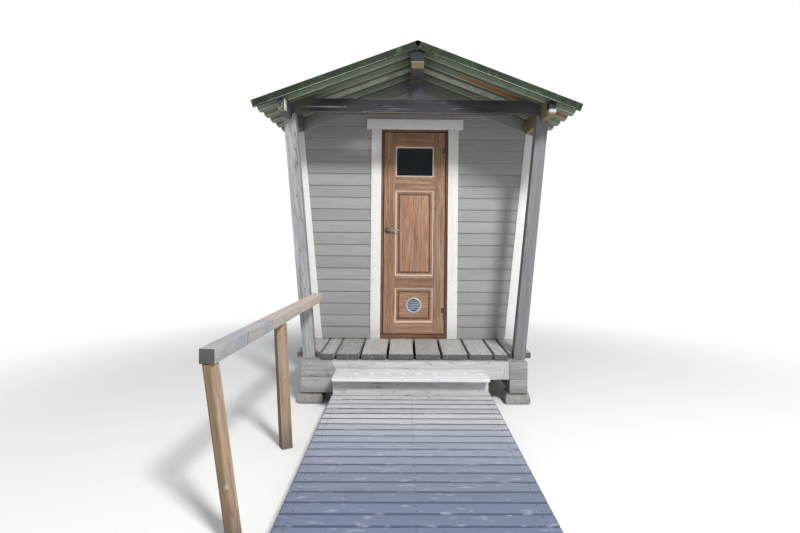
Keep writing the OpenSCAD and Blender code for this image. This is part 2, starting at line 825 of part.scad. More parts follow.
module walk_bearers() color("#7d7468") {
    y0 = walk_back + last_board_cut - walk_boards * (walk_board_w + walk_gap) + walk_gap;
    bearer_w = 48;
    for (x = [-walk_w / 2 + 30, -bearer_w / 2, walk_w / 2 - 30 - bearer_w]) {
        block(x - walk_shift, x + bearer_w - walk_shift, y0, walk_back, 0, bearer_h - seat);
    }
}

// Handrail
module handrail() color("#b5aca0") {
    run = norm(rail_far - rail_near);
    translate([rail_far[0], rail_far[1], rail_top - rail_h]) rotate([0, 0, -rail_turn])
        translate([-rail_w / 2, -run, 0]) cube([rail_w, run + post_w, rail_h]);
}

// A leaning post with level ends, turned about its own length
module rail_post(foot_x, y, turn) {
    top_z = rail_top - rail_h - seat;
    top_x = rail_near[0] + (y - rail_near[1]) * tan(rail_turn);
    lean = atan2(top_x - foot_x, top_z);
    intersection() {
        translate([foot_x, y, 0]) rotate([0, lean, 0]) rotate([0, 0, turn])
            translate([-rail_post_w / 2, -rail_post_w / 2, -rail_post_w])
                cube([rail_post_w, rail_post_w, top_z + 4 * rail_post_w]);
        block(foot_x - top_z, foot_x + top_z, y - rail_top / 2, y + rail_top / 2, 0, top_z);
    }
}

module rail_posts() color("#a08a70") {
    foot_x = -(walk_shift + walk_w / 2 + rail_foot_gap);
    rail_post(foot_x, rail_near[1] + rail_past, near_post_turn);
    rail_post(foot_x, -rail_mid_y, mid_post_turn);
}

foundation_stones();
side_sills();
plinth_blocks();
plinth_wedge();
front_rim();
floor_joists();
porch_planks();
room_floor();
front_wall_left();
front_wall_right();
front_gable();
left_wall();
right_wall();
back_wall();
corner_boards_gable();
corner_boards_side();
rake_boards();
door_frame();
architraves();
door_stiles();
door_rails();
door_panels();
door_mouldings();
door_glass();
door_vent();
door_roses();
door_lever();
hinge_pins();
hinge_knuckles();
porch_posts();
tie_beam();
king_post();
ridge_planks();
eaves_plates();
beam_end_covers();
roof_sheet_left();
roof_sheet_right();
verge_flashings();
ridge_cap();
step_tread();
step_box();
walk_planks();
walk_bearers();
handrail();
rail_posts();
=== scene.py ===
# %% [markdown]
# # A small wooden outhouse
# The real one is carpentry: a framed body with leaning, lap-boarded walls, a ribbed steel roof over an
# open porch, a panelled door, a box step and a timber walk with a handrail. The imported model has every
# timber at its real size. This file gives them rounded edges, grain, paint and wear, and adds what is
# small or repeats: lap boards, nails, roof screws and vent slats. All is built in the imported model's
# frame, in metres, with the door facing -Y.

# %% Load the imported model
import math
import random
from collections import namedtuple

import bmesh
import bpy
from mathutils import Matrix, Vector, noise


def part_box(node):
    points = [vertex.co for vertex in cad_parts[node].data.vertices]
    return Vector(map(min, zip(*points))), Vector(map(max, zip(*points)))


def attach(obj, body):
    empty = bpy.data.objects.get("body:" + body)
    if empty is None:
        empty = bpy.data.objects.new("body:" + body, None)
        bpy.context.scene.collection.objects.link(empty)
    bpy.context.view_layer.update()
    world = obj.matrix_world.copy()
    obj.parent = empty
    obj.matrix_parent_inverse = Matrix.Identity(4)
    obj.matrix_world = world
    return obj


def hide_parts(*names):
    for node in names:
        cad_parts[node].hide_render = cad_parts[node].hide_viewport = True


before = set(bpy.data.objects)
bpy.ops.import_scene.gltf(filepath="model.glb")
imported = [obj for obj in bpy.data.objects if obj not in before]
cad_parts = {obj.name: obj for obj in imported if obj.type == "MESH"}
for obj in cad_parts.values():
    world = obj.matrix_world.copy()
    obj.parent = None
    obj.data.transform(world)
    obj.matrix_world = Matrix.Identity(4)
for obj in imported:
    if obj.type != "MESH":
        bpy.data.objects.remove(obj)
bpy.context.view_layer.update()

scene = bpy.context.scene
scene.view_settings.view_transform = "Standard"

# %% [markdown]
# A camera can be set by eye, but a building shows every error of perspective. So this one was solved from
# the photograph's level and upright lines. They give a wide lens a little below eye height, in line with
# the walk, and a small shift that keeps the uprights upright, as a photographer gets by holding the
# camera level.

# %% Camera
camera = bpy.data.objects.new("camera", bpy.data.cameras.new("camera"))
scene.collection.objects.link(camera)
scene.camera = camera
camera.data.sensor_width = 36.0
camera.data.lens = 24.3
camera.data.shift_x = -0.0146
camera.data.shift_y = -0.0435
camera.data.clip_end = 200.0
standpoint = (-0.088, -4.930, 1.360)
heading, upright, roll = (math.radians(a) for a in (-0.75, 90, 0.5))
camera.matrix_world = (
    Matrix.Translation(standpoint)
    @ Matrix.Rotation(heading, 4, "Z")
    @ Matrix.Rotation(upright, 4, "X")
    @ Matrix.Rotation(roll, 4, "Z")
)
print("camera", [round(c, 3) for c in camera.location], "lens", camera.data.lens)

# %% [markdown]
# Every finish, and everything that repeats, is made of nodes. They could be placed by hand in the node
# editor, but a script can be read and run again, so two helpers come first. Colours are noted as sRGB hex
# values, as on a paint chart, and one function turns them into the linear values that Blender mixes. The
# other adds a node with its settings, values and links. The kinds of node that are used most get short
# names.

# %% Colour and node helpers
maths, vector_maths, remap = "ShaderNodeMath", "ShaderNodeVectorMath", "ShaderNodeMapRange"
split, combine = "ShaderNodeSeparateXYZ", "ShaderNodeCombineXYZ"


def linear(hex_colour):
    """Linear colour with alpha for an sRGB hex value."""
    parts = [int(hex_colour[i:i + 2], 16) / 255 for i in (1, 3, 5)]
    return [p / 12.92 if p <= 0.04045 else ((p + 0.055) / 1.055) ** 2.4 for p in parts] + [1.0]


def add(tree, kind, inputs=(), operation=None, **settings):
    """Adds a node. Inputs are a list in socket order, or a dict. A node stands for its first output."""
    node = tree.nodes.new(kind)
    if operation:
        node.operation = operation
    for name, value in settings.items():
        setattr(node, name, value)
    for key, value in inputs.items() if isinstance(inputs, dict) else enumerate(inputs):
        if isinstance(value, bpy.types.Node):
            value = value.outputs[0]
        if isinstance(value, bpy.types.NodeSocket):
            tree.links.new(value, node.inputs[key])
        else:
            node.inputs[key].default_value = value
    return node


print("mid grey", [round(c, 3) for c in linear("#808080")])

# %% [markdown]
# A sun lamp would suit a hut outdoors, but its hard shadows hide form. So the light is one large soft
# lamp high on one side and an even fill from all round. Together they render a painted wall in about the
# colour that is written for it. The surroundings are white only to the camera and to what glass and metal
# mirror or let through, so the backdrop adds no light to the hut.

# %% Light and surroundings
def seen_directly(tree):
    """1 for rays from the camera and for what glass and metal mirror or let through, or else 0."""
    rays = add(tree, "ShaderNodeLightPath").outputs
    mirrored = add(tree, maths, [rays["Is Camera Ray"], rays["Is Glossy Ray"]], "MAXIMUM")
    return add(tree, maths, [mirrored, rays["Is Transmission Ray"]], "MAXIMUM")


world = bpy.data.worlds.new("studio")
scene.world = world
world.use_nodes = True
sky = world.node_tree
sky.nodes.clear()
white = linear("#ffffff")
fill = add(sky, "ShaderNodeBackground", [linear("#f8faff"), 0.50])
backdrop = add(sky, "ShaderNodeBackground", [white, 1.0])
shown = add(sky, "ShaderNodeMixShader", [seen_directly(sky), fill, backdrop])
add(sky, "ShaderNodeOutputWorld", [shown])

key = bpy.data.objects.new("key_lamp", bpy.data.lights.new("key_lamp", "AREA"))
scene.collection.objects.link(key)
key.data.shape = "DISK"
key.data.size = 1.9
key.data.energy = 1090.0
key.data.color = linear("#fffefd")[:3]
key.location = (3.2, -8.4, 7.6)
porch_middle = Vector((0, -0.6, 1.0))
key.rotation_euler = (porch_middle - key.location).to_track_quat("-Z", "Y").to_euler()
print("key lamp", key.data.energy, "W at", tuple(round(c, 1) for c in key.location))

# %% [markdown]
# A plain plane would do for a floor, but its far edge would show as a line. So it is one pale matt sheet
# that takes the shadow near the hut and fades to plain white further out, where it meets the background
# unseen.

# %% Floor
reach = 60.0
fade_from, fade_to = 2.3, 5.0
floor_mesh = bpy.data.meshes.new("studio_floor")
corners = [(-reach, -reach, 0), (reach, -reach, 0), (reach, reach, 0), (-reach, reach, 0)]
floor_mesh.from_pydata(corners, [], [(0, 1, 2, 3)])
floor = bpy.data.objects.new("studio_floor", floor_mesh)
scene.collection.objects.link(floor)
paper = bpy.data.materials.new("matt_paper")
paper.use_nodes = True
sheet = paper.node_tree
sheet.nodes.clear()
place = add(sheet, "ShaderNodeTexCoord").outputs["Object"]
from_hut = add(sheet, vector_maths, [place, (0, porch_middle.y, 0)], "DISTANCE").outputs["Value"]
fade = add(sheet, remap, [from_hut, fade_from, fade_to], interpolation_type="SMOOTHSTEP")
matt = add(sheet, "ShaderNodeBsdfDiffuse", [linear("#f1f1ef")])
glow = add(sheet, "ShaderNodeEmission", [white, 1.0])
far_off = add(sheet, maths, [fade, seen_directly(sheet)], "MULTIPLY")
add(sheet, "ShaderNodeOutputMaterial", [add(sheet, "ShaderNodeMixShader", [far_off, matt, glow])])
floor_mesh.materials.append(paper)
print("floor", reach * 2, "m wide")

# %% [markdown]
# Weathered wood and old paint are coats over each other: streaks along the grain, growth rings, knots,
# cracks, and tones that differ from board to board. Pictures of wood could be wrapped round each timber,
# but they stretch, repeat and show seams. Patterns of nodes don't, so one function lays a list of coats
# over a base. A coat has a pattern, its real size in millimetres, the two values between which it comes
# in, its colour, how much of it, and how far it stands proud in millimetres. Grain patterns read a
# point's place in its own board, or in the object where a piece isn't made of boards. Others read the
# object's coordinates or the way that a face looks: roof ribs, a single mark, a height or an underside.

# %% Patterns
Coat = namedtuple("Coat", "pattern size start full colour amount relief", defaults=[0])
of_board = ("tone", "end", "edge")
of_place = {"width": "X", "depth": "Y", "height": "Z"}
of_facing = {"rightward": "X", "upward": "Z"}
ragged_scale, ragged_share = 60.0, 1.1


def edge(colour, amount):
    """A coat for the edges of a board."""
    return ("edge", None, 0.0, 1.0, colour, amount)


def end(colour, amount, relief=0):
    """A coat for the sawn ends of a board."""
    return ("end", None, 0.0, 1.0, colour, amount, relief)


def mark(axes, middle, half, colour, amount, relief=0, tilt=0, fade=(1.5, 0.9)):
    """A coat for a crack or stain, an ellipse on two axes in mm. It fades between two shares of its size."""
    return ("mark", (axes, middle, half, tilt), *fade, colour, amount, relief)


def mark_value(tree, place, axes, middle, half, tilt):
    """Distance from the middle of a mark in shares of its size, with a ragged edge."""
    own = add(tree, split, [place]).outputs
    across, along = [add(tree, maths, [own[axis], at / 1000], "SUBTRACT") for axis, at in zip(axes, middle)]
    across = add(tree, maths, [along, -tilt, across], "MULTIPLY_ADD")
    shares = [add(tree, maths, [side, size / 1000], "DIVIDE") for side, size in zip((across, along), half)]
    away = add(tree, vector_maths, [add(tree, combine, shares)], "LENGTH").outputs["Value"]
    ragged = add(tree, "ShaderNodeTexNoise", {"Vector": place, "Scale": ragged_scale, "Detail": 3.0})
    return add(tree, maths, [ragged.outputs["Fac"], ragged_share, away], "MULTIPLY_ADD")


def rib_value(tree, place, first, pitch):
    """Distance along Y from the nearest of the ribs that repeat from the first one, in metres."""
    from_first = add(tree, maths, [add(tree, split, [place]).outputs["Y"], first / 1000], "SUBTRACT")
    return add(tree, maths, [from_first, pitch / 2000], "PINGPONG")


def grain_value(tree, place, pattern, size):
    """Value of a pattern that fills the wood or metal, with its size along, across and through in mm."""
    sizes = size[:3] if isinstance(size, tuple) else (size,) * 3
    # The rings of a wave repeat every 0.314 units, and the other patterns about every unit.
    per_metre = 314.0 if pattern == "rings" else 1000.0
    spread = add(tree, "ShaderNodeMapping", {"Vector": place, "Scale": [per_metre / s for s in sizes]})
    scaled = {"Vector": spread, "Scale": 1.0}
    if pattern == "rings":
        bands = {**scaled, "Distortion": 4.5, "Detail": 2.0, "Detail Scale": 1.0}
        return add(tree, "ShaderNodeTexWave", bands, wave_type="RINGS", rings_direction="X").outputs["Fac"]
    if pattern in ("spots", "knots"):
        cell = add(tree, "ShaderNodeTexVoronoi", scaled).outputs
        if pattern == "spots":
            return cell["Distance"]
        heart = add(tree, vector_maths, [cell["Position"], [s / per_metre for s in sizes]], "MULTIPLY")
        away = add(tree, vector_maths, [place, heart], "DISTANCE").outputs["Value"]
        knotless = add(tree, maths, [cell["Color"], size[3]], "GREATER_THAN")
        return add(tree, maths, [away, knotless], "ADD")
    if pattern == "noise":
        return add(tree, "ShaderNodeTexNoise", {**scaled, "Detail": 3.0}).outputs["Fac"]
    wavy = add(tree, "ShaderNodeTexNoise", {**scaled, "Detail": 1.5}).outputs["Fac"]
    return add(tree, maths, [add(tree, maths, [wavy, 0.5], "SUBTRACT")], "ABSOLUTE")


print("patterns by board, place and facing:", *of_board, *of_place, *of_facing)

# %% Finishes from coats
def pattern_value(tree, pattern, size, place, board):
    """The value of a coat's pattern at each point."""
    if pattern in of_board:
        return board.outputs[of_board.index(pattern)]
    own = add(tree, "ShaderNodeTexCoord").outputs["Object"]
    if pattern in of_place:
        return add(tree, split, [own]).outputs[of_place[pattern]]
    if pattern in of_facing:
        normal = add(tree, "ShaderNodeNewGeometry").outputs["Normal"]
        return add(tree, split, [normal]).outputs[of_facing[pattern]]
    if pattern == "rib":
        return rib_value(tree, own, *size)
    if pattern == "mark":
        return mark_value(tree, own, *size)
    return grain_value(tree, place, pattern, size)


def finish(name, base, coats, where="grain", roughness=0.8, vary=0.08, **sockets):
    """A material that lays coats over a base. What lies deeper than the base is rougher by vary."""
    material = bpy.data.materials.new(name)
    material.use_nodes = True
    tree = material.node_tree
    shader = tree.nodes["Principled BSDF"]
    shader.inputs["Roughness"].default_value = roughness
    for socket, value in sockets.items():
        shader.inputs[socket.replace("_", " ")].default_value = value
    place = add(tree, "ShaderNodeTexCoord").outputs["Object"]
    board = None
    if where == "grain":
        place = add(tree, "ShaderNodeAttribute", attribute_name="grain").outputs["Vector"]
        board = add(tree, split, [add(tree, "ShaderNodeAttribute", attribute_name="board").outputs["Vector"]])
    colour = linear(base)
    height = 0.0
    gloss = roughness
    for coat in (Coat(*values) for values in coats):
        value = pattern_value(tree, coat.pattern, coat.size, place, board)
        mask = add(tree, remap, [value, coat.start, coat.full, 0.0, coat.amount],
                   interpolation_type="SMOOTHSTEP")
        mixed = add(tree, "ShaderNodeMix", {0: mask, 6: colour, 7: linear(coat.colour)}, data_type="RGBA")
        colour = mixed.outputs[2]
        if coat.relief:
            height = add(tree, maths, [mask, coat.relief / 1000, height], "MULTIPLY_ADD")
            rougher = vary if coat.relief < 0 else -vary
            gloss = add(tree, maths, [mask, rougher, gloss], "MULTIPLY_ADD")
    tree.links.new(colour, shader.inputs["Base Color"])
    if height:
        tree.links.new(gloss.outputs[0], shader.inputs["Roughness"])
        bump = add(tree, "ShaderNodeBump", {"Height": height, "Distance": 1.0, "Strength": 1.0})
        tree.links.new(bump.outputs[0], shader.inputs["Normal"])
    return material


print("a coat has:", ", ".join(Coat._fields))

# %% [markdown]
# Each timber of the real hut was sawn, planed and then worn by weather: its edges are a little round, its
# faces not quite flat, and its grain runs along it. Modifiers could bevel and roughen a whole node at
# once, but they don't tell one board from the next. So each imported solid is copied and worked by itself.
# It gets a bevel, a few cuts and a slight inward wear, which keeps it inside its measured size. The
# longest edge of the plain solid tells which way the grain runs.

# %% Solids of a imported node
def closed_solid(loops):
    """A clean mesh from loops of points, with flat faces in place of triangles."""
    solid = bmesh.new()
    corners = {}
    for loop in loops:
        for point in loop:
            if point not in corners:
                corners[point] = solid.verts.new(point)
        turn = [corners[point] for point in loop]
        if len(set(turn)) > 2 and not solid.faces.get(turn):
            solid.faces.new(turn)
    bmesh.ops.dissolve_limit(solid, angle_limit=math.radians(0.5), verts=solid.verts, edges=solid.edges)
    solid.normal_update()
    return solid


def solids_of(node):
    """The closed solids of a node, each as a clean mesh. The node's own mesh isn't touched."""
    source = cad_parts[node].data
    places = [tuple(round(c, 5) for c in v.co) for v in source.vertices]
    open_edges = set()
    loops = []
    for polygon in source.polygons:
        loop = [places[i] for i in polygon.vertices]
        loops.append(loop)
        for first, last in zip(loop, loop[1:] + loop[:1]):
            if first != last and (last, first) in open_edges:
                open_edges.remove((last, first))
            elif first != last:
                open_edges.add((first, last))
        if not open_edges:
            yield closed_solid(loops)
            loops = []


print("solids in the walk:", len(list(solids_of("walk_planks"))))

# %% Working the timbers
real_bend, side_on = 0.3, 0.4
bevelled_from = math.radians(28)
facing_end, facing_square = 0.8, 0.975


def grain_axes(solid, along=None):
    """Directions along the grain, across the board's face and through it, as the rows of a matrix."""
    if along is None:
        bent = (e for e in solid.edges if e.calc_face_angle(0.0) > real_bend)
        longest = max(bent, key=lambda e: round(e.calc_length(), 4))
        along = (longest.verts[1].co - longest.verts[0].co).normalized()
        if max(along, key=abs) < 0:
            along = -along
    along = Vector(along)
    level = (f for f in solid.faces if abs(f.normal.dot(along)) < side_on)
    flat = max(level, key=lambda f: round(f.calc_area(), 6))
    across = flat.normal.cross(along).normalized()
    return Matrix((along, across, along.cross(across)))


def work(solid, axes, seed, bevel=2.0, cuts=(150, 0, 0), wear=1.0, waves=(300, 60, 60)):
    """Rounds a solid's edges, cuts it up along its axes and wears its faces inwards. Sizes are in mm."""
    if bevel:
        edges = [e for e in solid.edges if e.is_manifold and e.calc_face_angle(0.0) > bevelled_from]
        bmesh.ops.bevel(solid, geom=edges, offset=bevel / 1000, segments=2, profile=0.6, affect="EDGES",
                        clamp_overlap=True)
    for axis, step in zip(axes, cuts):
        if step:
            reach = [v.co.dot(axis) for v in solid.verts]
            start = min(reach)
            length = max(reach) - start
            count = int(length / (step / 1000))
            for i in range(1, count + 1):
                everything = solid.verts[:] + solid.edges[:] + solid.faces[:]
                cut = axis * (start + length * i / (count + 1))
                bmesh.ops.bisect_plane(solid, geom=everything, dist=1e-5, plane_co=cut, plane_no=axis)
    solid.normal_update()
    for v in solid.verts:
        place = Vector([c * 1000 / w for c, w in zip(axes @ v.co, waves)]) + Vector((seed, 0, 0))
        depth = 0.5 + 0.5 * noise.noise(place)
        v.co -= v.normal * (wear / 1000 * min(1.0, max(0.0, depth)))
    solid.normal_update()


def marked(solid, axes, rng):
    """The solid's points and faces, with each point's place in the board and each face's tone and kind."""
    solid.verts.ensure_lookup_table()
    solid.verts.index_update()
    middle = sum((v.co for v in solid.verts), Vector()) / len(solid.verts)
    shift = Vector((rng.uniform(0, 30), rng.uniform(-0.04, 0.04), rng.uniform(0.02, 0.09)))
    grain = [axes @ (v.co - middle) + shift for v in solid.verts]
    tone = rng.random()
    kinds = []
    for face in solid.faces:
        lean = [abs(c) for c in axes @ face.normal]
        end = float(lean[0] > facing_end)
        edge = float(not end and max(lean) < facing_square)
        kinds.append((tone, end, edge))
    return [tuple(v.co) for v in solid.verts], [[v.index for v in f.verts] for f in solid.faces], grain, kinds


print("grain of the first walk board:", grain_axes(next(solids_of("walk_planks")))[0][:])

# %% Pieces from worked solids
def joined(name, shapes):
    """One mesh from several shapes that start with their points and faces."""
    points, faces = [], []
    for shape in shapes:
        faces += [[i + len(points) for i in face] for face in shape[1]]
        points += shape[0]
    mesh = bpy.data.meshes.new(name)
    mesh.from_pydata(points, [], faces)
    return mesh


def settle(name, mesh, material, body, node, stands_for=(), smooth=None):
    """Makes a piece with its finish, and lets it ride on its body."""
    if smooth:
        mesh.shade_smooth()
        mesh.set_sharp_from_angle(angle=math.radians(smooth))
    mesh.materials.clear()
    mesh.materials.append(material)
    piece = bpy.data.objects.new(name, mesh)
    scene.collection.objects.link(piece)
    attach(piece, body)
    if stands_for:
        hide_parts(*stands_for)
    print(f"{name}: {len(mesh.polygons)} faces on {body}")


def piece_from(name, parts, material, body, node, stands_for=(), smooth=32):
    """Joins marked solids to one piece."""
    mesh = joined(name, parts)
    for label, domain, column in (("grain", "POINT", 2), ("board", "FACE", 3)):
        numbers = [c for part in parts for vector in part[column] for c in vector]
        mesh.attributes.new(label, "FLOAT_VECTOR", domain).data.foreach_set("vector", numbers)
    settle(name, mesh, material, body, node, stands_for, smooth)


def timber(node, material, body="hut", along=None, **how):
    """A worked copy of a timber node, which it then stands for."""
    rng = random.Random(node)
    parts = []
    for solid in solids_of(node):
        axes = grain_axes(solid, along)
        work(solid, axes, rng.uniform(0, 50), **how)
        parts.append(marked(solid, axes, rng))
        solid.free()
    piece_from(node + "_worked", parts, material, body, node, (node,))


def dress(node, material):
    """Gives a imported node, whose shape is right as it is, a better finish."""
    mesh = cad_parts[node].data
    mesh.materials.clear()
    mesh.materials.append(material)
    print("dressed", node, "with", material.name)


print("helpers for timbers ready")

# %% [markdown]
# Softwood outdoors without paint turns silver grey: the sun breaks the surface down and rain washes the
# brown out. Hard growth rings stay proud, drying opens thin cracks along the grain, and knots stay
# darker. One grey for all would look dead, because posts, planks and sills weather differently. So a
# function holds the coats that they share, and each timber gives it its own colours. The finest fibres,
# well under a millimetre in truth, are drawn about 3 mm wide so that they show.

# %% Weathered softwood
def weathered(name, base, pale, dark, knot="#6d5f55", crack="#3a3638", wear_and_painted_light=None, share=0.45, streaks=0.65,
              rings=0.25, fibres=0.5, tones=0.4, edges=0.35, extra=()):
    """Grey softwood with streaks, rings, fibres, knots, cracks and end grain."""
    return finish(name, base, [
        ("noise", (700, 34, 34), 0.38, 0.62, pale, streaks),
        ("noise", (260, 12, 12), 0.50, 0.72, dark, streaks * 0.6, -0.15),
        ("rings", (5000, 8, 8), 0.25, 0.95, dark, rings, -0.30),
        ("noise", (110, 3.2, 3.2), 0.46, 0.70, dark, fibres, -0.25),
        ("knots", (420, 120, 120, share), 0.021, 0.012, dark, 0.6, 0.2),
        ("knots", (420, 120, 120, share), 0.014, 0.007, knot, 0.85, 0.3),
        ("lines", (420, 30, 30), 0.010, 0.0, crack, 0.75, -0.9),
        ("tone", None, 0.55, 1.0, dark, tones),
        ("tone", None, 0.45, 0.0, pale, tones),
        edge(wear_and_painted_light or pale, edges),
        end(dark, 0.55, -0.2),
        *extra], roughness=0.85)


# Planed pine posts: silvered in long streaks, the right one darker with painted shade and split along its
# front.
post_pine = weathered("silvered_pine_posts", "#9a9b9e", "#b2b3b6", "#6a6a6c", tones=0.0, streaks=0.8,
                      fibres=0.6, extra=[
    # Painted shade: the right post, from X 0.60 m outwards, is darker.
    ("width", None, 0.60, 0.75, "#656468", 0.72),
    mark("XZ", (889, 1160), (3.5, 340), "#343235", 0.85, -1.0, 0.12, (1.35, 0.7)),
    mark("XZ", (905, 930), (3.0, 150), "#454347", 0.70, -0.8, 0.10, (1.35, 0.7)),
    mark("XZ", (-955, 1640), (12, 15), "#5c5753", 0.75, 0.2, fade=(1.5, 1.0))])
# Sawn sill timbers: the same silver, browner towards the foot, where they stay damp.
sill_pine = weathered("silvered_sill_timber", "#97989a", "#adaeaf", "#6c6d70", extra=[
    ("height", None, 0.17, 0.09, "#6d6c66", 0.55)])
# A planed board and a wedge across the front: they catch most sun, so they are bleached almost to white.
rim_pine = weathered("silvered_front_board", "#b9b9bb", "#cacacb", "#929296", rings=0.15)
wedge_pine = weathered("bleached_wedge_board", "#aeb1b2", "#c3c6c7", "#8b8e90")
# Rough-sawn timber close to the ground, out of the sun: it stays brown and dull, and it is made darker still
# as painted shade, so that it reads dark in the gaps between boards.
damp_and_shaded_pine = weathered("sawn_undergrowth_timber", "#5b554d", "#6e675d", "#403b35", knot="#3a2c20")
# Planed porch planks: feet keep them pale and dirt stays in dark specks. The sawn ends are dark partly from
# dirt and partly as painted shade.
deck_pine = weathered("worn_porch_planks", "#b3b1af", "#c9c6c3", "#858280", crack="#2b2725", wear_and_painted_light="#7b7875",
                      share=0.3, rings=0.06, streaks=0.45, edges=0.5, extra=[
    # Painted shade on the sawn ends, over their own dark end grain.
    end("#4f4b48", 0.92),
    ("noise", (30, 9, 9), 0.56, 0.62, "#4a4643", 0.5, -0.3),
    ("noise", (55, 9, 9), 0.60, 0.67, "#c3c0bd", 0.45, 0.1)])
# Planed pine indoors keeps its honey colour. Only the floor's outer edges, in the open, are grey.
indoor_pine = {"base": "#a08f78", "pale": "#b7a58c", "dark": "#7a684f", "knot": "#5e4430"}
wall_pine = weathered("indoor_wall_boards", **indoor_pine)
floor_pine = weathered("indoor_floor_boards", **indoor_pine, extra=[
    (side, None, at, past, "#8b8b8b", 0.95)
    for side, at, past in (("width", 0.880, 0.890), ("width", -0.880, -0.890), ("depth", 1.480, 1.490))])
print("first weathered finishes:", len(bpy.data.materials))

# %% Weathered roof timbers
# A planed tie beam, near black with a blue cast as painted shade, with bleached thin streaks and worn edges.
tie_pine = weathered("tie_beam_pine", "#292b30", "#3c3e45", "#1b1d22", knot="#2a2624", wear_and_painted_light="#a08c6e",
                     rings=0.12, edges=0.75, extra=[
    ("width", None, -0.78, -0.98, "#6b6657", 0.60),
    ("width", None, 0.60, 0.95, "#5a5654", 0.50),
    ("noise", (260, 10, 10), 0.60, 0.68, "#8f9096", 0.35, 0.1),
    mark("XZ", (-730, 2358), (200, 6), "#b0b0b1", 0.70, fade=(1.6, 1.0))])
# A planed king post, as dark with painted shade, with a crack down its middle and bare wood under the ridge.
king_pine = weathered("king_post_pine", "#38363f", "#4c4a54", "#25232a", knot="#4d352c", rings=0.1, extra=[
    mark("XZ", (3, 2520), (6, 75), "#3d2a30", 0.85, -0.4, -0.04),
    mark("XZ", (-18, 2478), (20, 3), "#453d4b", 0.75, -0.4, fade=(1.4, 0.9)),
    ("height", None, 2.545, 2.585, "#665545", 0.6)])
# Planed ridge planks in the shade: olive from algae, with yellower sawn ends and undersides darker as painted
# shade.
ridge_pine = weathered("shaded_ridge_plank_pine", "#55564c", "#6c6b5e", "#393b31", knot="#4a3e31", extra=[
    # Painted shade on the undersides.
    ("upward", None, -0.5, -0.9, "#49444a", 0.75),
    end("#67623f", 0.80)])
# Planed eaves plates: green with algae, the right one's outer face tan and the left one's blue-grey, with
# undersides paler as painted light.
plate_pine = weathered("algae_grown_rafter_pine", "#63645a", "#7c7b6c", "#43463b", knot="#4a3e31", extra=[
    ("noise", (500, 90, 90), 0.48, 0.66, "#6a7a5c", 0.55),
    ("width", None, 0.95, 1.0, "#85714f", 0.70),
    # Painted light on the undersides.
    ("upward", None, -0.5, -0.9, "#93815f", 0.6),
    ("width", None, -0.95, -1.0, "#555a64", 0.80),
    end("#7b734c", 0.85)])
print("with roof timbers:", len(bpy.data.materials))

# %% Weathered step, walk and handrail
# Planed step boards: shoes wear the tread almost white, in a row of pale spots, and the box is greyer.
step_spots = [mark("XY", (x, -845 + 9 * (i % 3)), (24, 34), "#eeedea", 0.95, 0.2, fade=(1.55, 0.95))
              for i, x in enumerate(range(-560, 520, 118))]
tread_pine = weathered("worn_step_boards", "#dcdcdd", "#e8e8e8", "#b6b7ba", knot="#eceae6", share=0.2,
                       rings=0.08, streaks=0.4, wear_and_painted_light="#b9b9bc", extra=step_spots)
box_pine = weathered("step_box_boards", "#bcbcbe", "#cccccd", "#929296", rings=0.10)
# Planed walk boards: pale by the step, blue-grey further out as painted shade, and dark along the gaps as
# painted shade.
walk_pine = weathered("worn_walk_boards", "#cbccce", "#dadadb", "#9da0a7", knot="#84878e", crack="#4a4b52",
                      wear_and_painted_light="#55575f", streaks=0.30, rings=0.06, fibres=0.45, tones=0.50, edges=0.80,
                      share=0.35, extra=[
    # Painted shade: blue-grey from 1.35 m in front of the hut outwards.
    ("depth", None, -1.35, -1.75, "#8c95a9", 0.75),
    ("depth", None, -1.60, -2.60, "#5f6b85", 0.80),
    ("noise", (260, 6, 6), 0.54, 0.66, "#5a627a", 0.42, -0.2),
    # Painted shade along the gaps, on the edges of every board.
    edge("#343a4c", 0.50),
    ("noise", (90, 34, 34), 0.58, 0.72, "#b4b8c6", 0.45, 0.1),
    end("#54565d", 0.6)])
# A planed handrail: beige by the porch and greyer further out, and crossed by bands of blue-grey that are
# painted shade.
rail_painted_shades = [mark("YZ", (y - 85, 820), (95, 60), "#9798ad", 0.60) for y in (-2200, -1810)]
rail_bands = [mark("YZ", (y, 820), (9, 60), "#55586c", 0.80, -0.3, 0.15, (1.4, 0.8)) for y in (-2200, -1810)]
rail_pine = weathered("planed_rail_pine", "#b3aba4", "#ccc3bb", "#8a847e", knot="#6e5a4a",
                      streaks=0.45, extra=[
    ("depth", None, -1.30, -0.85, "#d2c1ae", 0.60),
    ("depth", None, -1.50, -2.50, "#96979c", 0.65),
    *rail_painted_shades,
    *rail_bands,
    end("#3d403c", 0.90, -0.3)])
# Planed rail posts: still tan, with painted shade on the near post's front and on faces turned to the left,
# dark at the foot, and with a streak of resin.
rail_post_pine = weathered("rail_post_pine", "#94806b", "#b39d88", "#66533f", knot="#4d3826", crack="#6b543e",
                           rings=0.12, fibres=0.45, extra=[
    ("depth", None, -2.590, -2.596, "#5e4c33", 0.72),
    mark("YZ", (-2589, 420), (3, 120), "#b07b3f", 0.55),
    mark("YZ", (-2592, 250), (5, 20), "#b3aca6", 0.60, 0.2),
    ("rightward", None, -0.3, -0.7, "#55462f", 0.75),
    ("height", None, 0.22, 0.0, "#4e4a3e", 0.65)])
print("all weathered finishes:", len(bpy.data.materials))

# %% [markdown]
# Oil paint on boards is matt and a little chalky after years outdoors. The brush leaves fine marks, the
# grain shows faintly through, and splashes darken the wall near the porch floor. One flat colour would
# look like plastic, so the paint has the same kinds of coat as the wood, with less relief and tones
# closer together.

